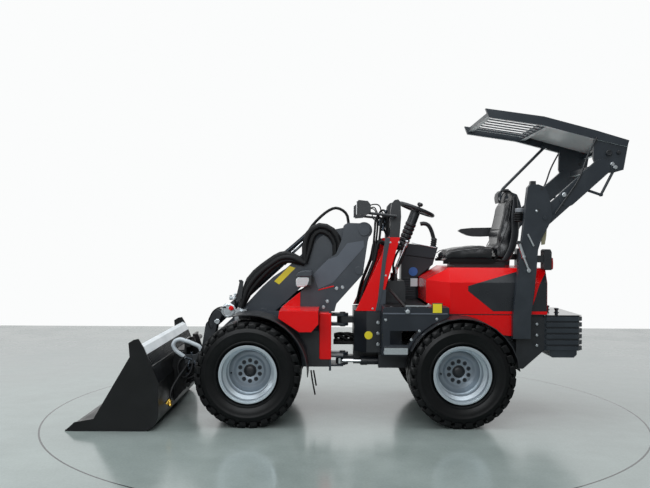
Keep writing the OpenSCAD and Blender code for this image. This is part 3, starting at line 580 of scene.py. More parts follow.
# %% Cushion maker
SEAT_PROFILE = [(1412, 1176), (1426, 1148), (1795, 1148), (1797, 1256), (1694, 1262), (1560, 1247),
    (1450, 1228), (1418, 1206)]
BACK_PROFILE = [(1803, 1175), (1803, 1262), (1838, 1275), (1838, 1345), (1860, 1405), (1882, 1500),
    (1896, 1588), (1908, 1628), (1930, 1636), (1952, 1622), (1962, 1500), (1970, 1400),
    (1964, 1345), (1940, 1236), (1898, 1160)]
SEAT_HALF = 224.0
# metres: how far the form is drawn in first, the most it may swell, and the remesh sizes
SHRINK, SWELL, QUICK_SWELL = 0.011, 0.019, 0.012
FINE_VOXEL, ROUGH_VOXEL = 0.0075, 0.012
PRESSURE, LAST_FRAME = 4.0, 16
CALM_ROUNDS = 40


def cushion(name, profile, half_width, press):
    bm = bmesh.new()
    film(bm, [(x, -half_width, z) for x, z in profile], (0, 2 * half_width, 0))
    obj = put(name, to_mesh(bm, name))
    bpy.context.view_layer.objects.active = obj
    modify(obj, "skin", "REMESH", mode="VOXEL",
        voxel_size=FINE_VOXEL)
    modify(obj, "round", "SMOOTH", iterations=12, factor=0.6)
    graph = bpy.context.evaluated_depsgraph_get()
    start = bpy.data.meshes.new_from_object(obj.evaluated_get(graph))
    obj.modifiers.clear()
    for v, n in zip(start.vertices, [tuple(n.vector) for n in start.vertex_normals]):
        v.co -= Vector(n) * SHRINK
    obj.data = start
    rest = [v.co.copy() for v in start.vertices]
    cloth = obj.modifiers.new("foam", "CLOTH")
    cloth.settings.quality = 4
    cloth.settings.use_pressure = True
    cloth.settings.uniform_pressure_force = PRESSURE
    cloth.settings.effector_weights.gravity = 0.0
    for f in range(1, LAST_FRAME + 1):
        bpy.context.scene.frame_set(f)
    graph = bpy.context.evaluated_depsgraph_get()
    puffed = obj.evaluated_get(graph).to_mesh()
    moved = [v.co.copy() for v in puffed.vertices]
    obj.evaluated_get(graph).to_mesh_clear()
    obj.modifiers.clear()
    # the swelling is evened out between neighbours, so the skin keeps no small creases
    steps = np.array([tuple(b - a) for a, b in zip(rest, moved)])
    ends = np.array([tuple(e.vertices) for e in start.edges])
    count = np.bincount(ends.ravel(), minlength=len(rest))[:, None]
    for _ in range(CALM_ROUNDS):
        total = np.zeros_like(steps)
        np.add.at(total, ends[:, 0], steps[ends[:, 1]])
        np.add.at(total, ends[:, 1], steps[ends[:, 0]])
        steps = (steps + total / count) / 2
    for v, a, step in zip(start.vertices, rest, (Vector(t) for t in steps)):
        if step.length > SWELL:
            step *= SWELL / step.length
        v.co = a + step
        v.co += press(v.co)
    start.shade_smooth()
    modify(obj, "smooth", "SUBSURF", levels=1, render_levels=1)
    obj.data.materials.append(seat_vinyl)
    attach(obj, "rear_frame")
    print(name, "vertices:", len(start.vertices))
    return obj


# %% [markdown]
# The welted seams are grooves: each is a narrow dip, deepest on its line. The seat is also
# hollowed between its side welts, and flat where it rests on the pan.

# %% Seams and the two cushions
def groove(distance, depth, width=6.0):
    return depth * math.exp(-(distance / width) ** 2)


def seat_press(co):
    x, y, z = (co.x - FRONT_AXLE) / MM, abs(co.y) / MM, co.z / MM
    dz = 0.0
    if z > 1200:
        dz -= groove(y - 150, 6)
        dz -= 5.0 * math.cos(min(y / 150, 1.0) * math.pi / 2)
        if y < 148:
            dz -= groove(x - 1530, 4) + groove(x - 1640, 4)
    flat = max(0.0, 1148.0 - (z + dz))
    return Vector((0, 0, (dz + flat) * MM))


def back_press(co):
    x, y, z = (co.x - FRONT_AXLE) / MM, abs(co.y) / MM, co.z / MM
    front = x < 1838 + (z - 1275) * 0.24
    dx = 0.0
    if front:
        dx += groove(y - 148, 6) + 7.0 * math.cos(min(y / 148, 1.0) * math.pi / 2)
        if y < 146:
            dx += groove(z - 1385, 4) + groove(z - 1500, 4)
    return Vector((dx * MM, 0, 0))


seat_pad = cushion("seat_pad", SEAT_PROFILE, SEAT_HALF, seat_press)
back_pad = cushion("back_pad", BACK_PROFILE, SEAT_HALF - 6, back_press)
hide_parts("seat_cushions")
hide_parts("seat_cushions")

# %% [markdown]
# The foam sits in a dark pan. Its sides show as a low strip under the cushion.

# %% Seat pan
bm = bmesh.new()
for side in (LEFT, RIGHT):
    film(bm, upright(side * 229, (1418, 1142), (1800, 1142), (1800, 1168), (1440, 1170),
        (1414, 1160)), (0, side * 5, 0))
piece("seat_pan", bm, tyre_rubber, "rear_frame")
report("seat pan")

# %% [markdown]
# The piping is a cord sewn into the seams at the cushion's edges. The back of the seat is a
# moulded shell that wraps the foam, with a bent plastic loop over the top.

# %% Piping, back shell and head loop
for side, word in SIDES:
    y = side * (SEAT_HALF - 5)
    hose("piping_seat_top_" + word, [(1424, y * 0.97, 1206), (1452, y, 1224), (1560, y, 1242),
        (1694, y, 1257), (1785, y, 1252)], 3.2, seat_vinyl, "rear_frame")
    hose("piping_seat_foot_" + word, [(1422, y * 0.97, 1176), (1460, y, 1160), (1600, y, 1158),
        (1780, y, 1158)], 3.0, seat_vinyl, "rear_frame")
    hose("piping_back_" + word, [(1826, y * 0.96, 1262), (1866, y * 0.97, 1345),
        (1888, y * 0.97, 1405), (1908, y * 0.97, 1500), (1920, y * 0.96, 1588),
        (1926, y * 0.93, 1625)], 3.2, seat_vinyl, "rear_frame")

SHELL_LINE = [(1900, 1152), (1932, 1200), (1956, 1250), (1976, 1330), (1980, 1400), (1975, 1500),
    (1970, 1600), (1962, 1640)]
bm = bmesh.new()
rows = []
for x, z in SHELL_LINE:
    wrap = 62 if z < 1600 else 40
    row = [(x - wrap, 230), (x - 22, 230), (x - 6, 222), (x, 200), (x + 1, 90)]
    row = [(a, -b) for a, b in row] + [(x + 1, 0)] + row[::-1]
    rows.append([bm.verts.new(at(a, b, z)) for a, b in row])
skin(bm, rows, closed=False)
shell = piece("seat_shell", bm, black_abs, "rear_frame", 50)
modify(shell, "wall", "SOLIDIFY", thickness=0.005, offset=1.0)
modify(shell, "smooth", "SUBSURF", levels=2, render_levels=2)


def band(name, route, half_width, thick, material, body):
    """A bent strip along a route in the side view."""
    bm = bmesh.new()
    rows = []
    for k, (x, z) in enumerate(route):
        a, b = Vector(route[max(k - 1, 0)]), Vector(route[min(k + 1, len(route) - 1)])
        n = Vector((-(b - a).y, (b - a).x)).normalized() * thick / 2
        rows.append([bm.verts.new(at(x + s * n.x, y, z + s * n.y)) for y, s in
                     ((-half_width, -1), (half_width, -1), (half_width, 1), (-half_width, 1))])
    skin(bm, rows)
    bm.faces.new(rows[0])
    bm.faces.new(rows[-1])
    obj = piece(name, bm, material, body, 40)
    modify(obj, "edge", "BEVEL", width=thick * 0.25 * MM, segments=2)
    return obj


band("head_loop", [(1866, 1596), (1860, 1615), (1857, 1642), (1862, 1668), (1880, 1688),
    (1910, 1694), (1944, 1690), (1962, 1674), (1969, 1650), (1970, 1610)], 62, 9, black_abs,
    "rear_frame")
band("head_rib", [(1905, 1600), (1912, 1640), (1924, 1668), (1940, 1684)], 50, 8, black_abs,
    "rear_frame")
report("seat trim")

# %% [markdown]
# ## Hood graphics
# A black wedge of self-adhesive film runs back over the hood side and its sloping shoulder,
# under a thin red flash. Film is thin, so it is an outline lying half a millimetre off the
# paint. The places where a name would be printed stay plain.

# %% Hood wedge and red flash
HOOD_Y, SHOULDER_Z, SLOPE = 375.4, 1000.0, 60.0 / 105.0


def on_hood(x, z, side, lift=0.0):
    y = HOOD_Y - max(0.0, z - SHOULDER_Z) * SLOPE
    return (x, side * (y + lift), z)


wedge, flash = forms(2)
for side in (LEFT, RIGHT):
    out = (0, side * 0.5, 0)
    up = (0, side * 0.45, 0.3)
    film(wedge, [on_hood(x, z, side) for x, z in ((1653, 1000), (1571, 975), (1571, 939),
        (1753, 793), (2144, 793), (2144, 1000))], out)
    film(wedge, [on_hood(x, z, side) for x, z in ((1653, 1000), (2144, 1000), (2144, 1098),
        (1990, 1094), (1948, 1083))], up)
    film(flash, [on_hood(x, z, side, 0.6) for x, z in ((2058, 1000), (2095, 1000), (2080, 962),
        (2062, 900), (2041, 837), (2052, 930))], out)
    film(flash, [on_hood(x, z, side, 0.6) for x, z in ((2058, 1000), (2095, 1000), (2120, 1040),
        (2142, 1070), (2142, 1099), (2066, 1097))], up)
piece("hood_wedge", wedge, black_film, "rear_frame")
piece("hood_flash", flash, red_coat, "rear_frame")
report("hood graphics")

# %% [markdown]
# Blank stickers and plates: a yellow strip on the boom, a round one on the rear frame, a
# yellow label on the hood's nose, and a blue disc over a white label on the console.

# %% Blank stickers
def disc_points(x, z, r, y):
    return [(x + r * math.cos(2 * math.pi * k / 40), y,
        z + r * math.sin(2 * math.pi * k / 40)) for k in range(40)]


yellow, boom_strip, blue, white = forms(4)
for side in (LEFT, RIGHT):
    out = (0, side * 0.5, 0)
    film(boom_strip, upright(side * (112 + OFF), (258, 1106), (304, 1090), (180, 964), (142, 988)),
        out)
    film(yellow, disc_points(853, 604, 30, side * 300.4), out)
    film(yellow, upright(side * 564.4, (1289, 796), (1353, 796), (1353, 860), (1289, 860)), out)
film(blue, disc_points(1240, 1054, 36, 236.8), (0, -0.5, 0))
film(white, upright(236.4, (1218, 1000), (1218, 934), (1276, 934), (1276, 1000)),
    (0, -0.5, 0))
piece("sticker_yellow_boom", boom_strip, yellow_film, "boom")
piece("sticker_yellow_frame", yellow, yellow_film, "rear_frame")
piece("sticker_blue", blue, blue_film, "rear_frame")
piece("sticker_white", white, white_film, "rear_frame")
report("blank stickers")

# %% [markdown]
# ## Lift tower
# The tower's outer plate carries a second, lighter sheet, with a thin red line at its foot.
# It could be a panel cut into the plate's mesh, but a sheet of its own keeps the plate as it
# is. Bolts are gathered in one mesh for each body, because they share a finish and move
# together.

# %% Tower sheet, red line and front bolts
sheet, line, front_bolts, rear_bolts = forms(4)
for side in (LEFT, RIGHT):
    out = Vector((0, side, 0))
    film(sheet, upright(side * (190 + OFF), (694, 1279), (818, 1301), (826, 1256), (590, 984),
        (481, 936), (440, 1045), (552, 1157), (622, 1182)), out * 3)
    film(line, upright(side * (190 + OFF), (478, 925), (486, 934), (594, 963), (599, 955)),
        out * 3.4)
    for x, z in ((617, 941), (662, 949), (549, 843), (520, 800)):
        bolt(front_bolts, at(x, side * 190, z), out, 6)
    for z in (697, 619, 538):
        bolt(rear_bolts, at(923, side * 300, z), out, 6)
    for x, z in ((949, 523), (1074, 1289), (978, 1045), (882, 801), (1010, 1289)):
        bolt(rear_bolts, at(x, side * 300, z), out, 3.6)
    for x, z in ((1318, 752), (1195, 668), (1140, 606), (960, 745), (960, 540)):
        bolt(rear_bolts, at(x, side * 560, z), out, 4.5)
    for z in (700, 620, 546):
        bolt(rear_bolts, at(2072, side * 375, z), out, 4.5)
    bolt(rear_bolts, at(1113, side * 566, 804), out, 7)
    for x, y in ((1190, 520), (1250, 520), (1000, 520)):
        bolt(rear_bolts, at(x, side * y, 832), UP, 4)
piece("tower_sheet", sheet, slate_coat, "front_frame")
piece("tower_line", line, red_coat, "front_frame")
piece("bolts_front", front_bolts, zinc_plate, "front_frame")
piece("bolts_rear", rear_bolts, zinc_plate, "rear_frame")
report("tower and bolts")

# %% [markdown]
# ## Headlamps, work lamps and tail lamps
# The lenses are clear polycarbonate with rounded edges. Each is a small outline with depth
# and a bevel, set in its housing.

# %% Lamp lenses
def rounded(points, width, segments, name, material, body, depth):
    """An outline given by drawing points, deepened by a vector, with rounded edges."""
    bm = bmesh.new()
    film(bm, points, depth)
    obj = piece(name, bm, material, body, 40)
    modify(obj, "edge", "BEVEL", width=width * MM, segments=segments, limit_method="ANGLE")
    return obj


for side, word in SIDES:
    rounded(upright(side * 206, (330, 1030), (412, 1030), (417, 1008), (404, 970), (380, 958),
        (326, 956), (316, 975), (316, 1012)), 7, 3, "headlamp_lens_" + word, clear_lens,
        "front_frame", (0, side * 95, 0))
    rounded(upright(side * 200, (316, 1032), (330, 1062), (366, 1078), (432, 1078), (437, 1040),
        (412, 1032)), 5, 3, "headlamp_shell_" + word, graphite_coat, "front_frame",
        (0, side * 104, 0))
    rounded(upright(side * 343, (2161, 1099), (2172, 1104), (2173, 1140), (2171, 1182),
        (2161, 1186)), 3, 2, "tail_lens_" + word, red_lens, "rear_frame", (0, side * 84, 0))
    rounded([(760, side * y, z) for y, z in ((324, 1490), (386, 1490), (394, 1498), (394, 1582),
        (386, 1590), (324, 1590), (316, 1582), (316, 1498))], 3, 2, "work_lens_" + word, clear_lens,
        "rear_frame", (-3, 0, 0))
report("lamps")

# %% [markdown]
# ## Boom hoses and couplers
# Hydraulic hoses are rubber over steel braid, crimped at each end in a plated ferrule. The
# big ones are solids of the frame; the thin lines, ferrules and couplers are added here.

# %% Boom lines, ferrules and couplers
def ferrule(bm, place, along, r):
    """A crimped hose end: collar with two grooves, then a hexagon nut."""
    turned(bm, place, along, [(r * 1.05, 0), (r * 1.2, 3), (r * 1.2, 12), (r * 1.08, 14),
        (r * 1.08, 17), (r * 1.2, 19), (r * 1.2, 30), (r * 0.8, 33), (r * 0.8, 40)], 28)
    turned(bm, place + along.normalized() * 0.034, along, [(r * 1.25, 0), (r * 1.3, 2),
        (r * 1.3, 15), (r * 1.1, 18)], 6)


def ferrules(bm, r, *ends):
    """Ferrules of one size; each end is a place in drawing millimetres and a direction."""
    for place, along in ends:
        ferrule(bm, at(*place), Vector(along), r)


hose("boom_hose_mid", [(-101, -158, 795), (-38, -158, 962), (112, -158, 1114), (235, -158, 1173),
    (377, -156, 1128)], 21, hose_rubber, "boom")
for k, (y, lift, r) in enumerate(((-64, 0, 7), (-92, 14, 8), (-128, 4, 9), (-106, -16, 6))):
    hose(f"boom_line_{k}", upright(y, (190, 1172 + lift), (262, 1232 + lift), (340, 1300 + lift),
        (425, 1378 + lift)), r, hose_rubber if k % 2 else dark_steel, "boom")
hose("coupler_loop", [(-215, -170, 790), (-249, -172, 795), (-300, -172, 772), (-330, -172, 730),
    (-346, -172, 672), (-325, -172, 630)], 5, hose_rubber, "boom")
hose("boom_drop_line", [(-128, -150, 800), (-150, -160, 840), (-120, -150, 900), (-40, -140, 985),
    (60, -130, 1080)], 7, hose_rubber, "boom")
silver, caps, levers = forms(3)
turned(silver, at(-196, -150, 770), TO_LEFT, [(38, 0), (52, 2), (55, 5), (55, 20), (52, 23),
    (44, 24), (40, 20), (22, 20), (20, 26), (8, 26)], 48)
turned(silver, at(-152, -172, 852), Vector((0.25, 0, 1)), [(12, 0), (17, 3), (17, 16), (13, 19),
    (13, 34), (16, 37), (16, 46), (9, 48)], 28)
turned(silver, at(-178, -158, 848), Vector((-0.1, 0, 1)), [(9, 0), (13, 3), (13, 20), (9, 24),
    (9, 36)], 24)
turned(silver, at(-294, -76, 676), TO_LEFT, [(20, 0), (20, 12), (17, 15), (10, 15), (9, 12)], 32)
turned(caps, at(-174, -176, 788), TO_LEFT, [(16, -2), (18, 1), (18, 12), (15, 16), (6, 17)], 32)
film(levers, upright(-166, (-142, 858), (-112, 994), (-98, 1000), (-84, 988), (-98, 858)),
    (0, -8, 0))
film(levers, upright(-176, (-118, 985), (-96, 985), (-96, 1000), (-118, 1000)),
    (0, 26, 0))
ferrules(silver, 18, ((-97, -144, 806), (-0.35, 0, -1)), ((-100, -141, 790), (-0.3, 0, -1)))
piece("boom_fittings", silver, zinc_plate, "boom")
piece("boom_caps", caps, red_coat, "boom")
piece("boom_lever", levers, black_abs, "boom")
report("boom lines")

# %% [markdown]
# ## Cowl, deck and linkage
# A dark strut runs down each side of the red cowl, and its lower rear corner is dark. Behind
# it stand the column's linkage and hoses. The deck has a rubber mat and a bright edge.

# %% Cowl struts, deck mat and linkage
struts, mat_mesh, bright, link = forms(4)
for side in (LEFT, RIGHT):
    out = Vector((0, side, 0))
    film(struts, upright(side * (300 + OFF), (972, 1322), (950, 1148), (920, 867), (903, 786),
        (924, 786), (957, 941), (979, 1148), (1009, 1322)), out * 6)
    film(struts, upright(side * (300 + OFF), (957, 941), (924, 786), (975, 786), (982, 941)),
        out * 4)
    film(bright, upright(side * (590 + OFF), (948, 507), (1112, 507), (1112, 556), (948, 556)),
        out * 2)
    film(bright, upright(side * (592 + OFF), (948, 553), (1112, 553), (1112, 556), (948, 556)),
        out * -28)
    film(bright, upright(side * 556, (1099, 840), (1275, 840), (1275, 847), (1099, 847)), out * -5)
    film(struts, upright(side * 561, (1092, 786), (1134, 786), (1134, 838), (1092, 838)), out * 4)
    hose("deck_strut_" + ("left" if side < 0 else "right"), [(1003, side * 306, 944),
        (1050, side * 420, 890), (1106, side * 563, 822)], 10, bucket_coat, "rear_frame")
film(mat_mesh, [(960, -535, 832.4), (1262, -535, 832.4), (1262, -330, 832.4), (1262, 228, 832.4),
    (960, 228, 832.4)], (0, 0, 3))
for k in range(24):
    x = 972 + 12 * k
    film(mat_mesh, [(x, -528, 835.2), (x + 6, -528, 835.2), (x + 6, -196, 835.2), (x, -196, 835.2)],
        (0, 0, 1.6))
hose("link_rod", [(1139, -96, 1262), (1086, -98, 1134), (1032, -100, 1008)], 9, zinc_plate,
    "rear_frame")
hose("link_cable_a", [(1150, -70, 1250), (1108, -112, 1150), (1070, -124, 1080),
    (1030, -118, 1005)], 10, hose_rubber, "rear_frame")
hose("link_cable_b", [(1118, -118, 1270), (1062, -140, 1180), (1046, -136, 1090),
    (1075, -120, 1010)], 8, hose_rubber, "rear_frame")
ferrules(link, 11, ((1139, -96, 1255), (0.4, 0, 1)), ((1042, -100, 1030), (-0.4, 0, -1)),
    ((1066, -150, 1052), (0, 0, 1)), ((1066, -100, 1052), (0, 0, 1)))
piece("cowl_struts", struts, graphite_coat, "rear_frame")
piece("deck_mat", mat_mesh, hose_rubber, "rear_frame")
piece("bright_edges", bright, zinc_plate, "rear_frame")
piece("link_fittings", link, zinc_plate, "rear_frame")
report("cowl and deck")

# %% [markdown]
# ## Hoses between tower and cowl
# Thin hoses and lamp wires hang from a cluster of fittings beside the mirror pods.

# %% Hoses, wires and their cluster
cluster = bmesh.new()
for k, (x, y, z, lean) in enumerate(((968, -216, 1500, 0.1), (984, -232, 1478, -0.1),
        (946, -224, 1462, -0.4), (992, -206, 1440, 0.2), (960, -240, 1426, 0.0),
        (978, -214, 1398, 0.1))):
    ferrule(cluster, at(x, y, z), Vector((lean, 0, 1 if k % 2 else -1)), 10)
piece("cluster", cluster, dark_steel, "rear_frame")
hose("cluster_hose_a", [(990, -212, 1340), (966, -216, 1400), (966, -216, 1470), (940, -222, 1500),
    (912, -226, 1470), (900, -228, 1380), (890, -228, 1260), (882, -228, 1150)], 8, hose_rubber,
    "rear_frame")
hose("cluster_hose_b", [(1002, -228, 1338), (984, -232, 1420), (986, -232, 1500), (958, -234, 1528),
    (928, -236, 1490), (918, -236, 1380), (905, -236, 1260), (892, -236, 1160)], 8, hose_rubber,
    "rear_frame")
hose("cluster_hose_c", upright(-246, (1010, 1340), (1000, 1400), (996, 1455), (975, 1480),
    (950, 1440), (936, 1340), (925, 1240)), 9, hose_rubber, "rear_frame")
for side, word in SIDES:
    hose("lamp_wire_a_" + word, [(860, side * 352, 1560), (888, side * 345, 1566),
        (924, side * 318, 1559), (947, side * 280, 1514), (975, side * 250, 1490)], 4.5,
        hose_rubber, "rear_frame")
    hose("lamp_wire_b_" + word, [(860, side * 345, 1538), (884, side * 335, 1545),
        (909, side * 310, 1514), (922, side * 280, 1476), (965, side * 245, 1462)], 4.5,
        hose_rubber, "rear_frame")
report("cluster")

# %% [markdown]
# ## Hinge
# Six hoses cross the hinge in a loosely twisted bundle.

# %% Hinge hoses and hanging strips
for k in range(6):
    t = 2 * math.pi * k / 6
    route = []
    for j in range(9):
        s = j / 8
        a = t + 1.9 * s
        swell = 27 + 9 * math.sin(math.pi * s)
        route.append((604 + 146 * s, swell * math.cos(a), 545 + swell * math.sin(a)))
    hose(f"hinge_hose_{k}", route, 12.5, hose_rubber, "rear_frame")
hose("strip_a", upright(-300, (431, 345), (440, 280), (462, 166)), 6, hose_rubber,
    "front_frame")
hose("strip_b", upright(-300, (450, 345), (458, 300), (470, 232)), 6, hose_rubber,
    "front_frame")
report("hinge")

# %% [markdown]
# ## Roll-over frame details
# A bright gas spring with a black cap at its top, a folded rod and pin heads sit on the posts;
# black discs and a black slot on them are painted shade of their holes; a webbing strap hangs
# behind them.

# %% Springs, pins, holes and strap
steel, hole_shade_and_cap, arm_pins, bosses = forms(4)
for side, word in SIDES:
    out = Vector((0, side, 0))
    turned(steel, at(2051, side * 430, 1520), out, [(8, -1), (8, 4), (5, 5)], 24)
    # black discs here and the black slot below: painted shade of the posts' holes
    turned(hole_shade_and_cap, at(2064, side * 430, 1524), out, [(10, -1), (10, 0.8), (3, 0.8)], 28)
    turned(hole_shade_and_cap, at(2087, side * 430, 1679), out, [(11, -1), (11, 0.8), (3, 0.8)], 28)
    film(hole_shade_and_cap, upright(side * 382, (2006, 1712), (2046, 1712), (2044, 1736), (2010, 1736)),
        out * 44)
    turned(arm_pins, at(2246, side * 438, 1636), out, [(17, -8), (17, 2), (13, 6), (4, 6)], 28)
    for x, z in ((2592, 1860), (2614, 1838)):
        turned(arm_pins, at(x, side * 426, z), out, [(15, -26), (15, 10), (12, 14), (4, 14)], 28)
    turned(bosses, at(2569, side * 430, 1941), out, [(22, -30), (22, 3), (19, 6), (14, 6), (13, 3),
        (5, 3)], 32)
    turned(bosses, at(2640, side * 425, 1945), out, [(13.6, -34), (13.6, 6), (11, 8), (4, 8)], 28)
    hose("post_rod_" + word, [(1986, side * 434, 1354), (2029, side * 434, 1267)], 8, zinc_plate,
        "rear_frame")
    hose("gas_spring_tube_" + word, [(1922, side * 446, 1284), (1954, side * 446, 1190)], 13,
        zinc_plate, "rear_frame")
    hose("gas_spring_rod_" + word, [(1954, side * 446, 1190), (1990, side * 446, 1098)], 9,
        zinc_plate, "rear_frame")
    turned(steel, at(1952, side * 446, 1196), Vector((1, 0, -2.7)), [(11, 0), (17, 2), (17, 12),
        (11, 14)], 28)
    turned(hole_shade_and_cap, at(1919, side * 440, 1291), out, [(14, -10), (14, 14), (11, 16), (4, 16)], 28)
    turned(steel, at(1992, side * 440, 1092), out, [(14, -10), (14, 12), (11, 14), (4, 14)], 28)
strap = bmesh.new()
film(strap, upright(-404, (2098, 1397), (2131, 1390), (2128, 1340), (2118, 1280), (2092, 1276),
    (2090, 1330)), (0, 3, 0))
piece("post_pins", steel, zinc_plate, "rear_frame")
piece("post_hole_shade_and_cap", hole_shade_and_cap, black_abs, "rear_frame")
piece("arm_pins", arm_pins, zinc_plate, "rops")
piece("arm_bosses", bosses, black_coat, "rops")
for side, word in SIDES:
    hose("arm_spring_" + word, [(2478, side * 436, 2050), (2412, side * 440, 1920),
        (2352, side * 440, 1760), (2262, side * 442, 1620), (2178, side * 442, 1500)], 6.5,
        black_abs, "rops")
piece("tail_strap", strap, webbing, "rear_frame")
report("roll-over frame")

# %% [markdown]
# ## Red panels
# A red column closes the rear corner of the front frame, and a red plate fills the gap
# between hood and rear fender. Both are folded sheet with a soft edge, so they get a bevel.

# %% Red column and lower plate
for side, word in SIDES:
    rounded(upright(side * 342.4, (492, 440), (500, 432), (572, 432), (579, 440), (579, 762),
        (572, 770), (500, 770), (492, 762)), 7, 4, "red_column_" + word, red_coat, "front_frame",
        (0, side * 12, 0))
    rounded(upright(side * 375.8, (1452, 764), (1898, 764), (1898, 612), (1815, 620), (1740, 668),
        (1640, 716)), 2, 2, "red_lower_" + word, red_coat, "rear_frame", (0, side * 3, 0))
    rounded(upright(side * (560 + OFF), (940, 784), (1396, 784), (1396, 794), (940, 794)),
            1.5, 2, "deck_fold_" + word, slate_coat, "rear_frame", (0, side * 4, 0))
    rounded(upright(side * (560 + OFF), (1284, 790), (1358, 790), (1358, 865), (1284, 865)),
            2, 2, "label_plate_" + word, black_coat, "rear_frame", (0, side * 4, 0))
report("red panels")

# %% [markdown]
# ## Bucket
# The guard is a comb of flat bars under a bent rail. The rail's upper face is worn bright.
# Hydraulic lines loop from the hitch over the bucket's back, and a brass coupler waits at
# its end.

# %% Guard bars, worn rail, bucket lines
BACK_TOP, RIM_TOP = (-636, 440), (-695, 572)
GUARD_HALF, BARS = 710.0, 22
comb, rail, brass, hitch = forms(4)
pitch = 2 * GUARD_HALF / (BARS - 1)
for k in range(BARS - 1):
    y = -GUARD_HALF + (k + 0.5) * pitch
    film(comb, upright(y - 4, (BACK_TOP[0], BACK_TOP[1]), (RIM_TOP[0] - 4, RIM_TOP[1] - 2),
        (RIM_TOP[0] - 16, RIM_TOP[1] + 4), (BACK_TOP[0] - 10, BACK_TOP[1])), (0, 8, 0))
film(rail, upright(-729, (-670, 521), (-692, 572.8), (-721, 585.4), (-722, 583.2), (-694.5, 571.2),
    (-672.5, 520)), (0, 1458, 0))
hose("bucket_loop", [(-380, -262, 466), (-396, -264, 506), (-440, -267, 530), (-500, -270, 553),
    (-552, -272, 562), (-588, -272, 530), (-580, -272, 494), (-545, -270, 460), (-500, -264, 430)],
    15, grey_sleeve, "bucket")
hose("bucket_line_a", [(-470, -262, 400), (-500, -290, 352), (-535, -380, 290), (-556, -490, 228),
    (-557, -539, 178)], 9, hose_rubber, "bucket")
hose("bucket_line_b", [(-450, -262, 396), (-450, -286, 350), (-480, -300, 300), (-520, -300, 290),
    (-548, -296, 330), (-540, -284, 400), (-500, -270, 440)], 9, hose_rubber, "bucket")
hose("bucket_line_c", [(-432, -262, 400), (-412, -280, 360), (-420, -292, 310), (-458, -292, 286),
    (-500, -288, 276)], 8, hose_rubber, "bucket")
ferrules(hitch, 11, ((-382, -262, 472), (-0.1, 0, -1)), ((-455, -262, 470), (0.1, 0, -1)),
    ((-497, -264, 430), (1, 0, -0.4)), ((-470, -262, 408), (-0.2, -0.2, -1)),
    ((-432, -262, 408), (0.2, -0.1, -1)))
for x, z in ((-470, 350), (-420, 330), (-400, 300), (-488, 300)):
    bolt(hitch, at(x, -252, z), TO_LEFT, 7)
    bolt(hitch, at(x, 252, z), TO_RIGHT, 7)
for along, lift in (((0.15, -0.35, -1), 0), ((-0.5, -0.3, -0.8), 8)):
    turned(brass, at(-556, -539, 170 + lift), Vector(along), [(9, 0), (13, 3), (13, 16), (10, 18),
        (10, 24), (14, 27), (14, 40), (11, 43), (7, 43)], 24)
rounded(upright(-250.4, (-505, 385), (-362, 385), (-362, 464), (-400, 470), (-430, 452),
    (-505, 452)), 3, 2, "hitch_block", black_coat, "bucket", (0, -24, 0))
piece("guard_comb", comb, guard_coat, "bucket")
piece("guard_rail_face", rail, galvanised, "bucket")
piece("bucket_coupler", brass, brass_fitting, "bucket")
piece("hitch_fittings", hitch, dark_steel, "bucket")
report("bucket")

# %% [markdown]
# The counterweight's lid is polished black, so at a low angle it mirrors the bright hall.

# %% Counterweight lid
rounded([(2156, -334, 759.2), (2396, -334, 759.2), (2418, -312, 759.2), (2418, 312, 759.2),
    (2396, 334, 759.2), (2156, 334, 759.2)], 1, 2, "weight_lid", gloss_black, "rear_frame",
    (0, 0, 3))
eyes = bmesh.new()
for y in (-120, 120):
    turned(eyes, at(2290, y, 762), UP, [(20, -1), (20, 3), (12, 6), (12, 20), (18, 24), (18, 32),
        (10, 35)], 28)
piece("weight_eyes", eyes, dark_steel, "rear_frame")
report("counterweight")

# %% [markdown]
# ## Last touches
# The console has a lid seam, and a thin plated rod along the lid's top edge is a painted highlight
# of that edge. A rubber buffer stands between seat and post.

# %% Console lid and buffer
hose("lid_seam", [(1190, 236.6, 1188), (1408, 236.6, 1158)], 2.5, hose_rubber, "rear_frame")
# bright rod on the lid edge: painted highlight
hose("lid_edge_highlight", [(1226, 236.6, 1286), (1422, 236.6, 1248)], 3.5, zinc_plate, "rear_frame")
buffer_mesh, buffer_cap = forms(2)
rings = [(26, 0)]
for k in range(4):
    rings += [(36, 4 + 16 * k), (38, 9 + 16 * k), (36, 14 + 16 * k), (28, 16 + 16 * k)]
turned(buffer_mesh, at(1950, -320, 1444), UP, rings + [(26, 70)], 32)
turned(buffer_cap, at(1956, -320, 1514), UP, [(26, -1), (33, 2), (33, 24), (28, 30), (12, 31)], 32)
piece("post_buffer", buffer_mesh, hose_rubber, "rear_frame")
piece("post_buffer_cap", buffer_cap, grey_primer, "rear_frame")
report("last touches")

# %% [markdown]
# ## Studio
# The machine stands in a white hall on a polished grey floor, with the round seam of a
# turntable in it. The floor keeps a soft mirror image, so it is a smooth dielectric over
# cloudy cement.

# %% Floor
FLOOR_HALF, WALL_Y, WALL_HIGH = 14.0, 5.47, 7.0
RING_R, RING_HALF_WIDTH, RING_SHIFT = 2.2, 0.006, 0.07


def flat_sheet(name, corners, material):
    mesh = bpy.data.meshes.new(name)
    mesh.from_pydata([tuple(c) for c in corners], [], [(0, 1, 2, 3)])
    mesh.materials.append(material)
    obj = put(name, mesh)
    return obj


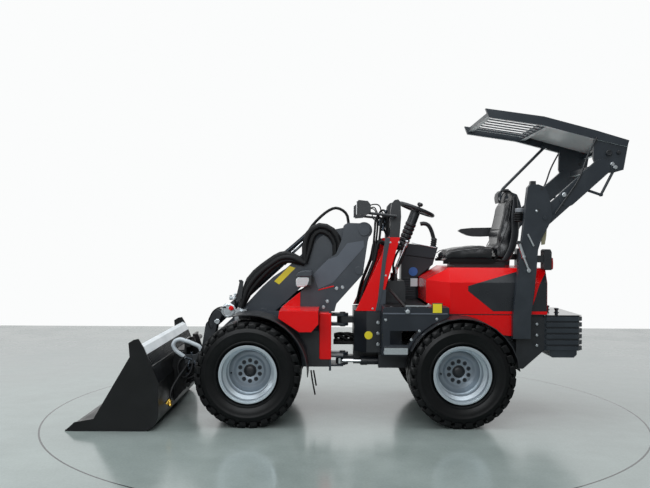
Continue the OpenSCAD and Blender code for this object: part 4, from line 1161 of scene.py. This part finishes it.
def floor_material():
    mat, tree, place = new_material("polished_cement")
    cloud = noise(tree, place, 1.3, 8.0, 0.62)
    grit = noise(tree, place, per_metre(15), 4.0)
    both = add(tree, "ShaderNodeMath", {0: cloud, 1: 0.75}, operation="MULTIPLY")
    both = add(tree, "ShaderNodeMath", {0: grit, 1: 0.25, 2: both.outputs[0]},
        operation="MULTIPLY_ADD")
    ramp = add(tree, "ShaderNodeValToRGB", {"Fac": both.outputs[0]})
    ramp.color_ramp.elements[0].position = 0.35
    ramp.color_ramp.elements[0].color = linear("#7a8481")
    ramp.color_ramp.elements[1].position = 0.65
    ramp.color_ramp.elements[1].color = linear("#8f9996")
    # the seam of the turntable, a dark ring 12 mm wide
    spot = add(tree, "ShaderNodeVectorMath", {0: place, 1: (1.0, 1.0, 0.0),
        2: (RING_SHIFT, 0.0, 0.0)}, operation="MULTIPLY_ADD")
    far = add(tree, "ShaderNodeVectorMath", {0: spot.outputs[0]}, operation="LENGTH")
    off = add(tree, "ShaderNodeMath", {0: far.outputs["Value"], 1: RING_R, 2: RING_HALF_WIDTH},
        operation="COMPARE")
    tone = blend(tree, off.outputs[0], ramp.outputs["Color"], linear("#303435"))
    gloss = remap(tree, cloud, 0.3, 0.7, 0.12, 0.24)
    shader = add(tree, "ShaderNodeBsdfPrincipled", {
        "Base Color": tone, "Roughness": gloss, "IOR": 1.5})
    return finish_material(mat, tree, shader.outputs["BSDF"])


flat_sheet("floor", [(-FLOOR_HALF, -FLOOR_HALF, 0), (FLOOR_HALF, -FLOOR_HALF, 0),
    (FLOOR_HALF, WALL_Y, 0), (-FLOOR_HALF, WALL_Y, 0)], floor_material())
print("floor seam radius in metres:", RING_R)

# %% [markdown]
# The wall has to be white where it is seen, mirrored or seen through glass, and must not
# flood the machine with light. A strength of 1 in those rays does that, with a plain diffuse
# wall for the rest. From behind it is open, so the machine shows from that side too.

# %% Wall
def wall_material():
    mat, tree, _ = new_material("white_wall")
    rays = add(tree, "ShaderNodeLightPath")
    seen = add(tree, "ShaderNodeMath", {0: rays.outputs["Is Camera Ray"],
        1: rays.outputs["Is Glossy Ray"]}, operation="MAXIMUM")
    seen = add(tree, "ShaderNodeMath", {0: seen.outputs[0], 1: rays.outputs["Is Transmission Ray"]},
        operation="MAXIMUM")
    plain = add(tree, "ShaderNodeBsdfDiffuse", {"Color": linear("#e8eaeb")})
    bright = add(tree, "ShaderNodeEmission", {"Color": linear("#fbfcfc"), "Strength": 1.0})
    mix = add(tree, "ShaderNodeMixShader", {0: seen.outputs[0], 1: plain.outputs[0],
        2: bright.outputs[0]})
    # from behind the wall is open, so the machine shows from that side too
    back = add(tree, "ShaderNodeNewGeometry").outputs["Backfacing"]
    opened = add(tree, "ShaderNodeBsdfTransparent")
    mix = add(tree, "ShaderNodeMixShader", {0: back, 1: mix.outputs[0], 2: opened.outputs[0]})
    return finish_material(mat, tree, mix.outputs[0])


flat_sheet("wall", upright(WALL_Y, (-FLOOR_HALF, 0), (FLOOR_HALF, 0), (FLOOR_HALF, WALL_HIGH),
    (-FLOOR_HALF, WALL_HIGH)), wall_material())

# %% [markdown]
# The hall's own light is an even dim sky. The camera sees it white.

# %% Sky
world = bpy.data.worlds.new("hall")
bpy.context.scene.world = world
world.use_nodes = True
world.node_tree.nodes.clear()
sky = add(world.node_tree, "ShaderNodeBackground", {"Color": linear("#f4f6f7"), "Strength": 0.42})
seen_sky = add(world.node_tree, "ShaderNodeBackground", {"Color": linear("#fbfcfc"),
    "Strength": 1.0})
rays = add(world.node_tree, "ShaderNodeLightPath")
both_skies = add(world.node_tree, "ShaderNodeMixShader", {0: rays.outputs["Is Camera Ray"],
    1: sky.outputs[0], 2: seen_sky.outputs[0]})
add(world.node_tree, "ShaderNodeOutputWorld", {"Surface": both_skies.outputs[0]})
print("sky strength:", sky.inputs["Strength"].default_value)

# %% [markdown]
# Three large soft panels light the machine: one overhead, one in front and one from the
# left. Large panels give the broad soft highlights of a studio.

# %% Lamps
def softbox(name, place, target, size, watts):
    data = bpy.data.lights.new(name, "AREA")
    data.shape = "RECTANGLE"
    data.size, data.size_y = size
    data.energy = watts
    data.color = (0.94, 0.975, 1.0)
    obj = put(name, data)
    obj.location = place
    obj.rotation_euler = (Vector(target) - Vector(place)).to_track_quat("-Z", "Y").to_euler()
    return obj


softbox("ceiling_panel", (0.0, -0.5, 5.2), (0.0, 0.0, 0.0), (7.0, 4.5), 270)
softbox("front_panel", (-1.5, -6.5, 3.4), (0.0, 0.0, 0.8), (5.0, 2.5), 210)
softbox("left_panel", (-6.0, -1.0, 2.6), (0.0, 0.0, 0.8), (3.0, 2.5), 90)
print("lamps:", len(bpy.data.lights))

# %% [markdown]
# The camera stands at the machine's left, a little above the seat, with a short telephoto
# lens. It is rolled by a third of a degree.

# %% Camera
camera_data = bpy.data.cameras.new("camera")
camera_data.sensor_width = 36.0
camera_data.lens = 41.0
camera_data.shift_x = -0.0077
camera_data.shift_y = -0.003
camera = put("camera", camera_data)
camera.location = at(566, -5750, 1289)
camera.rotation_euler = (math.radians(90), math.radians(-0.3), 0.0)
bpy.context.scene.camera = camera
bpy.context.scene.view_settings.view_transform = "Standard"
print("camera at", [round(v, 2) for v in camera.location])
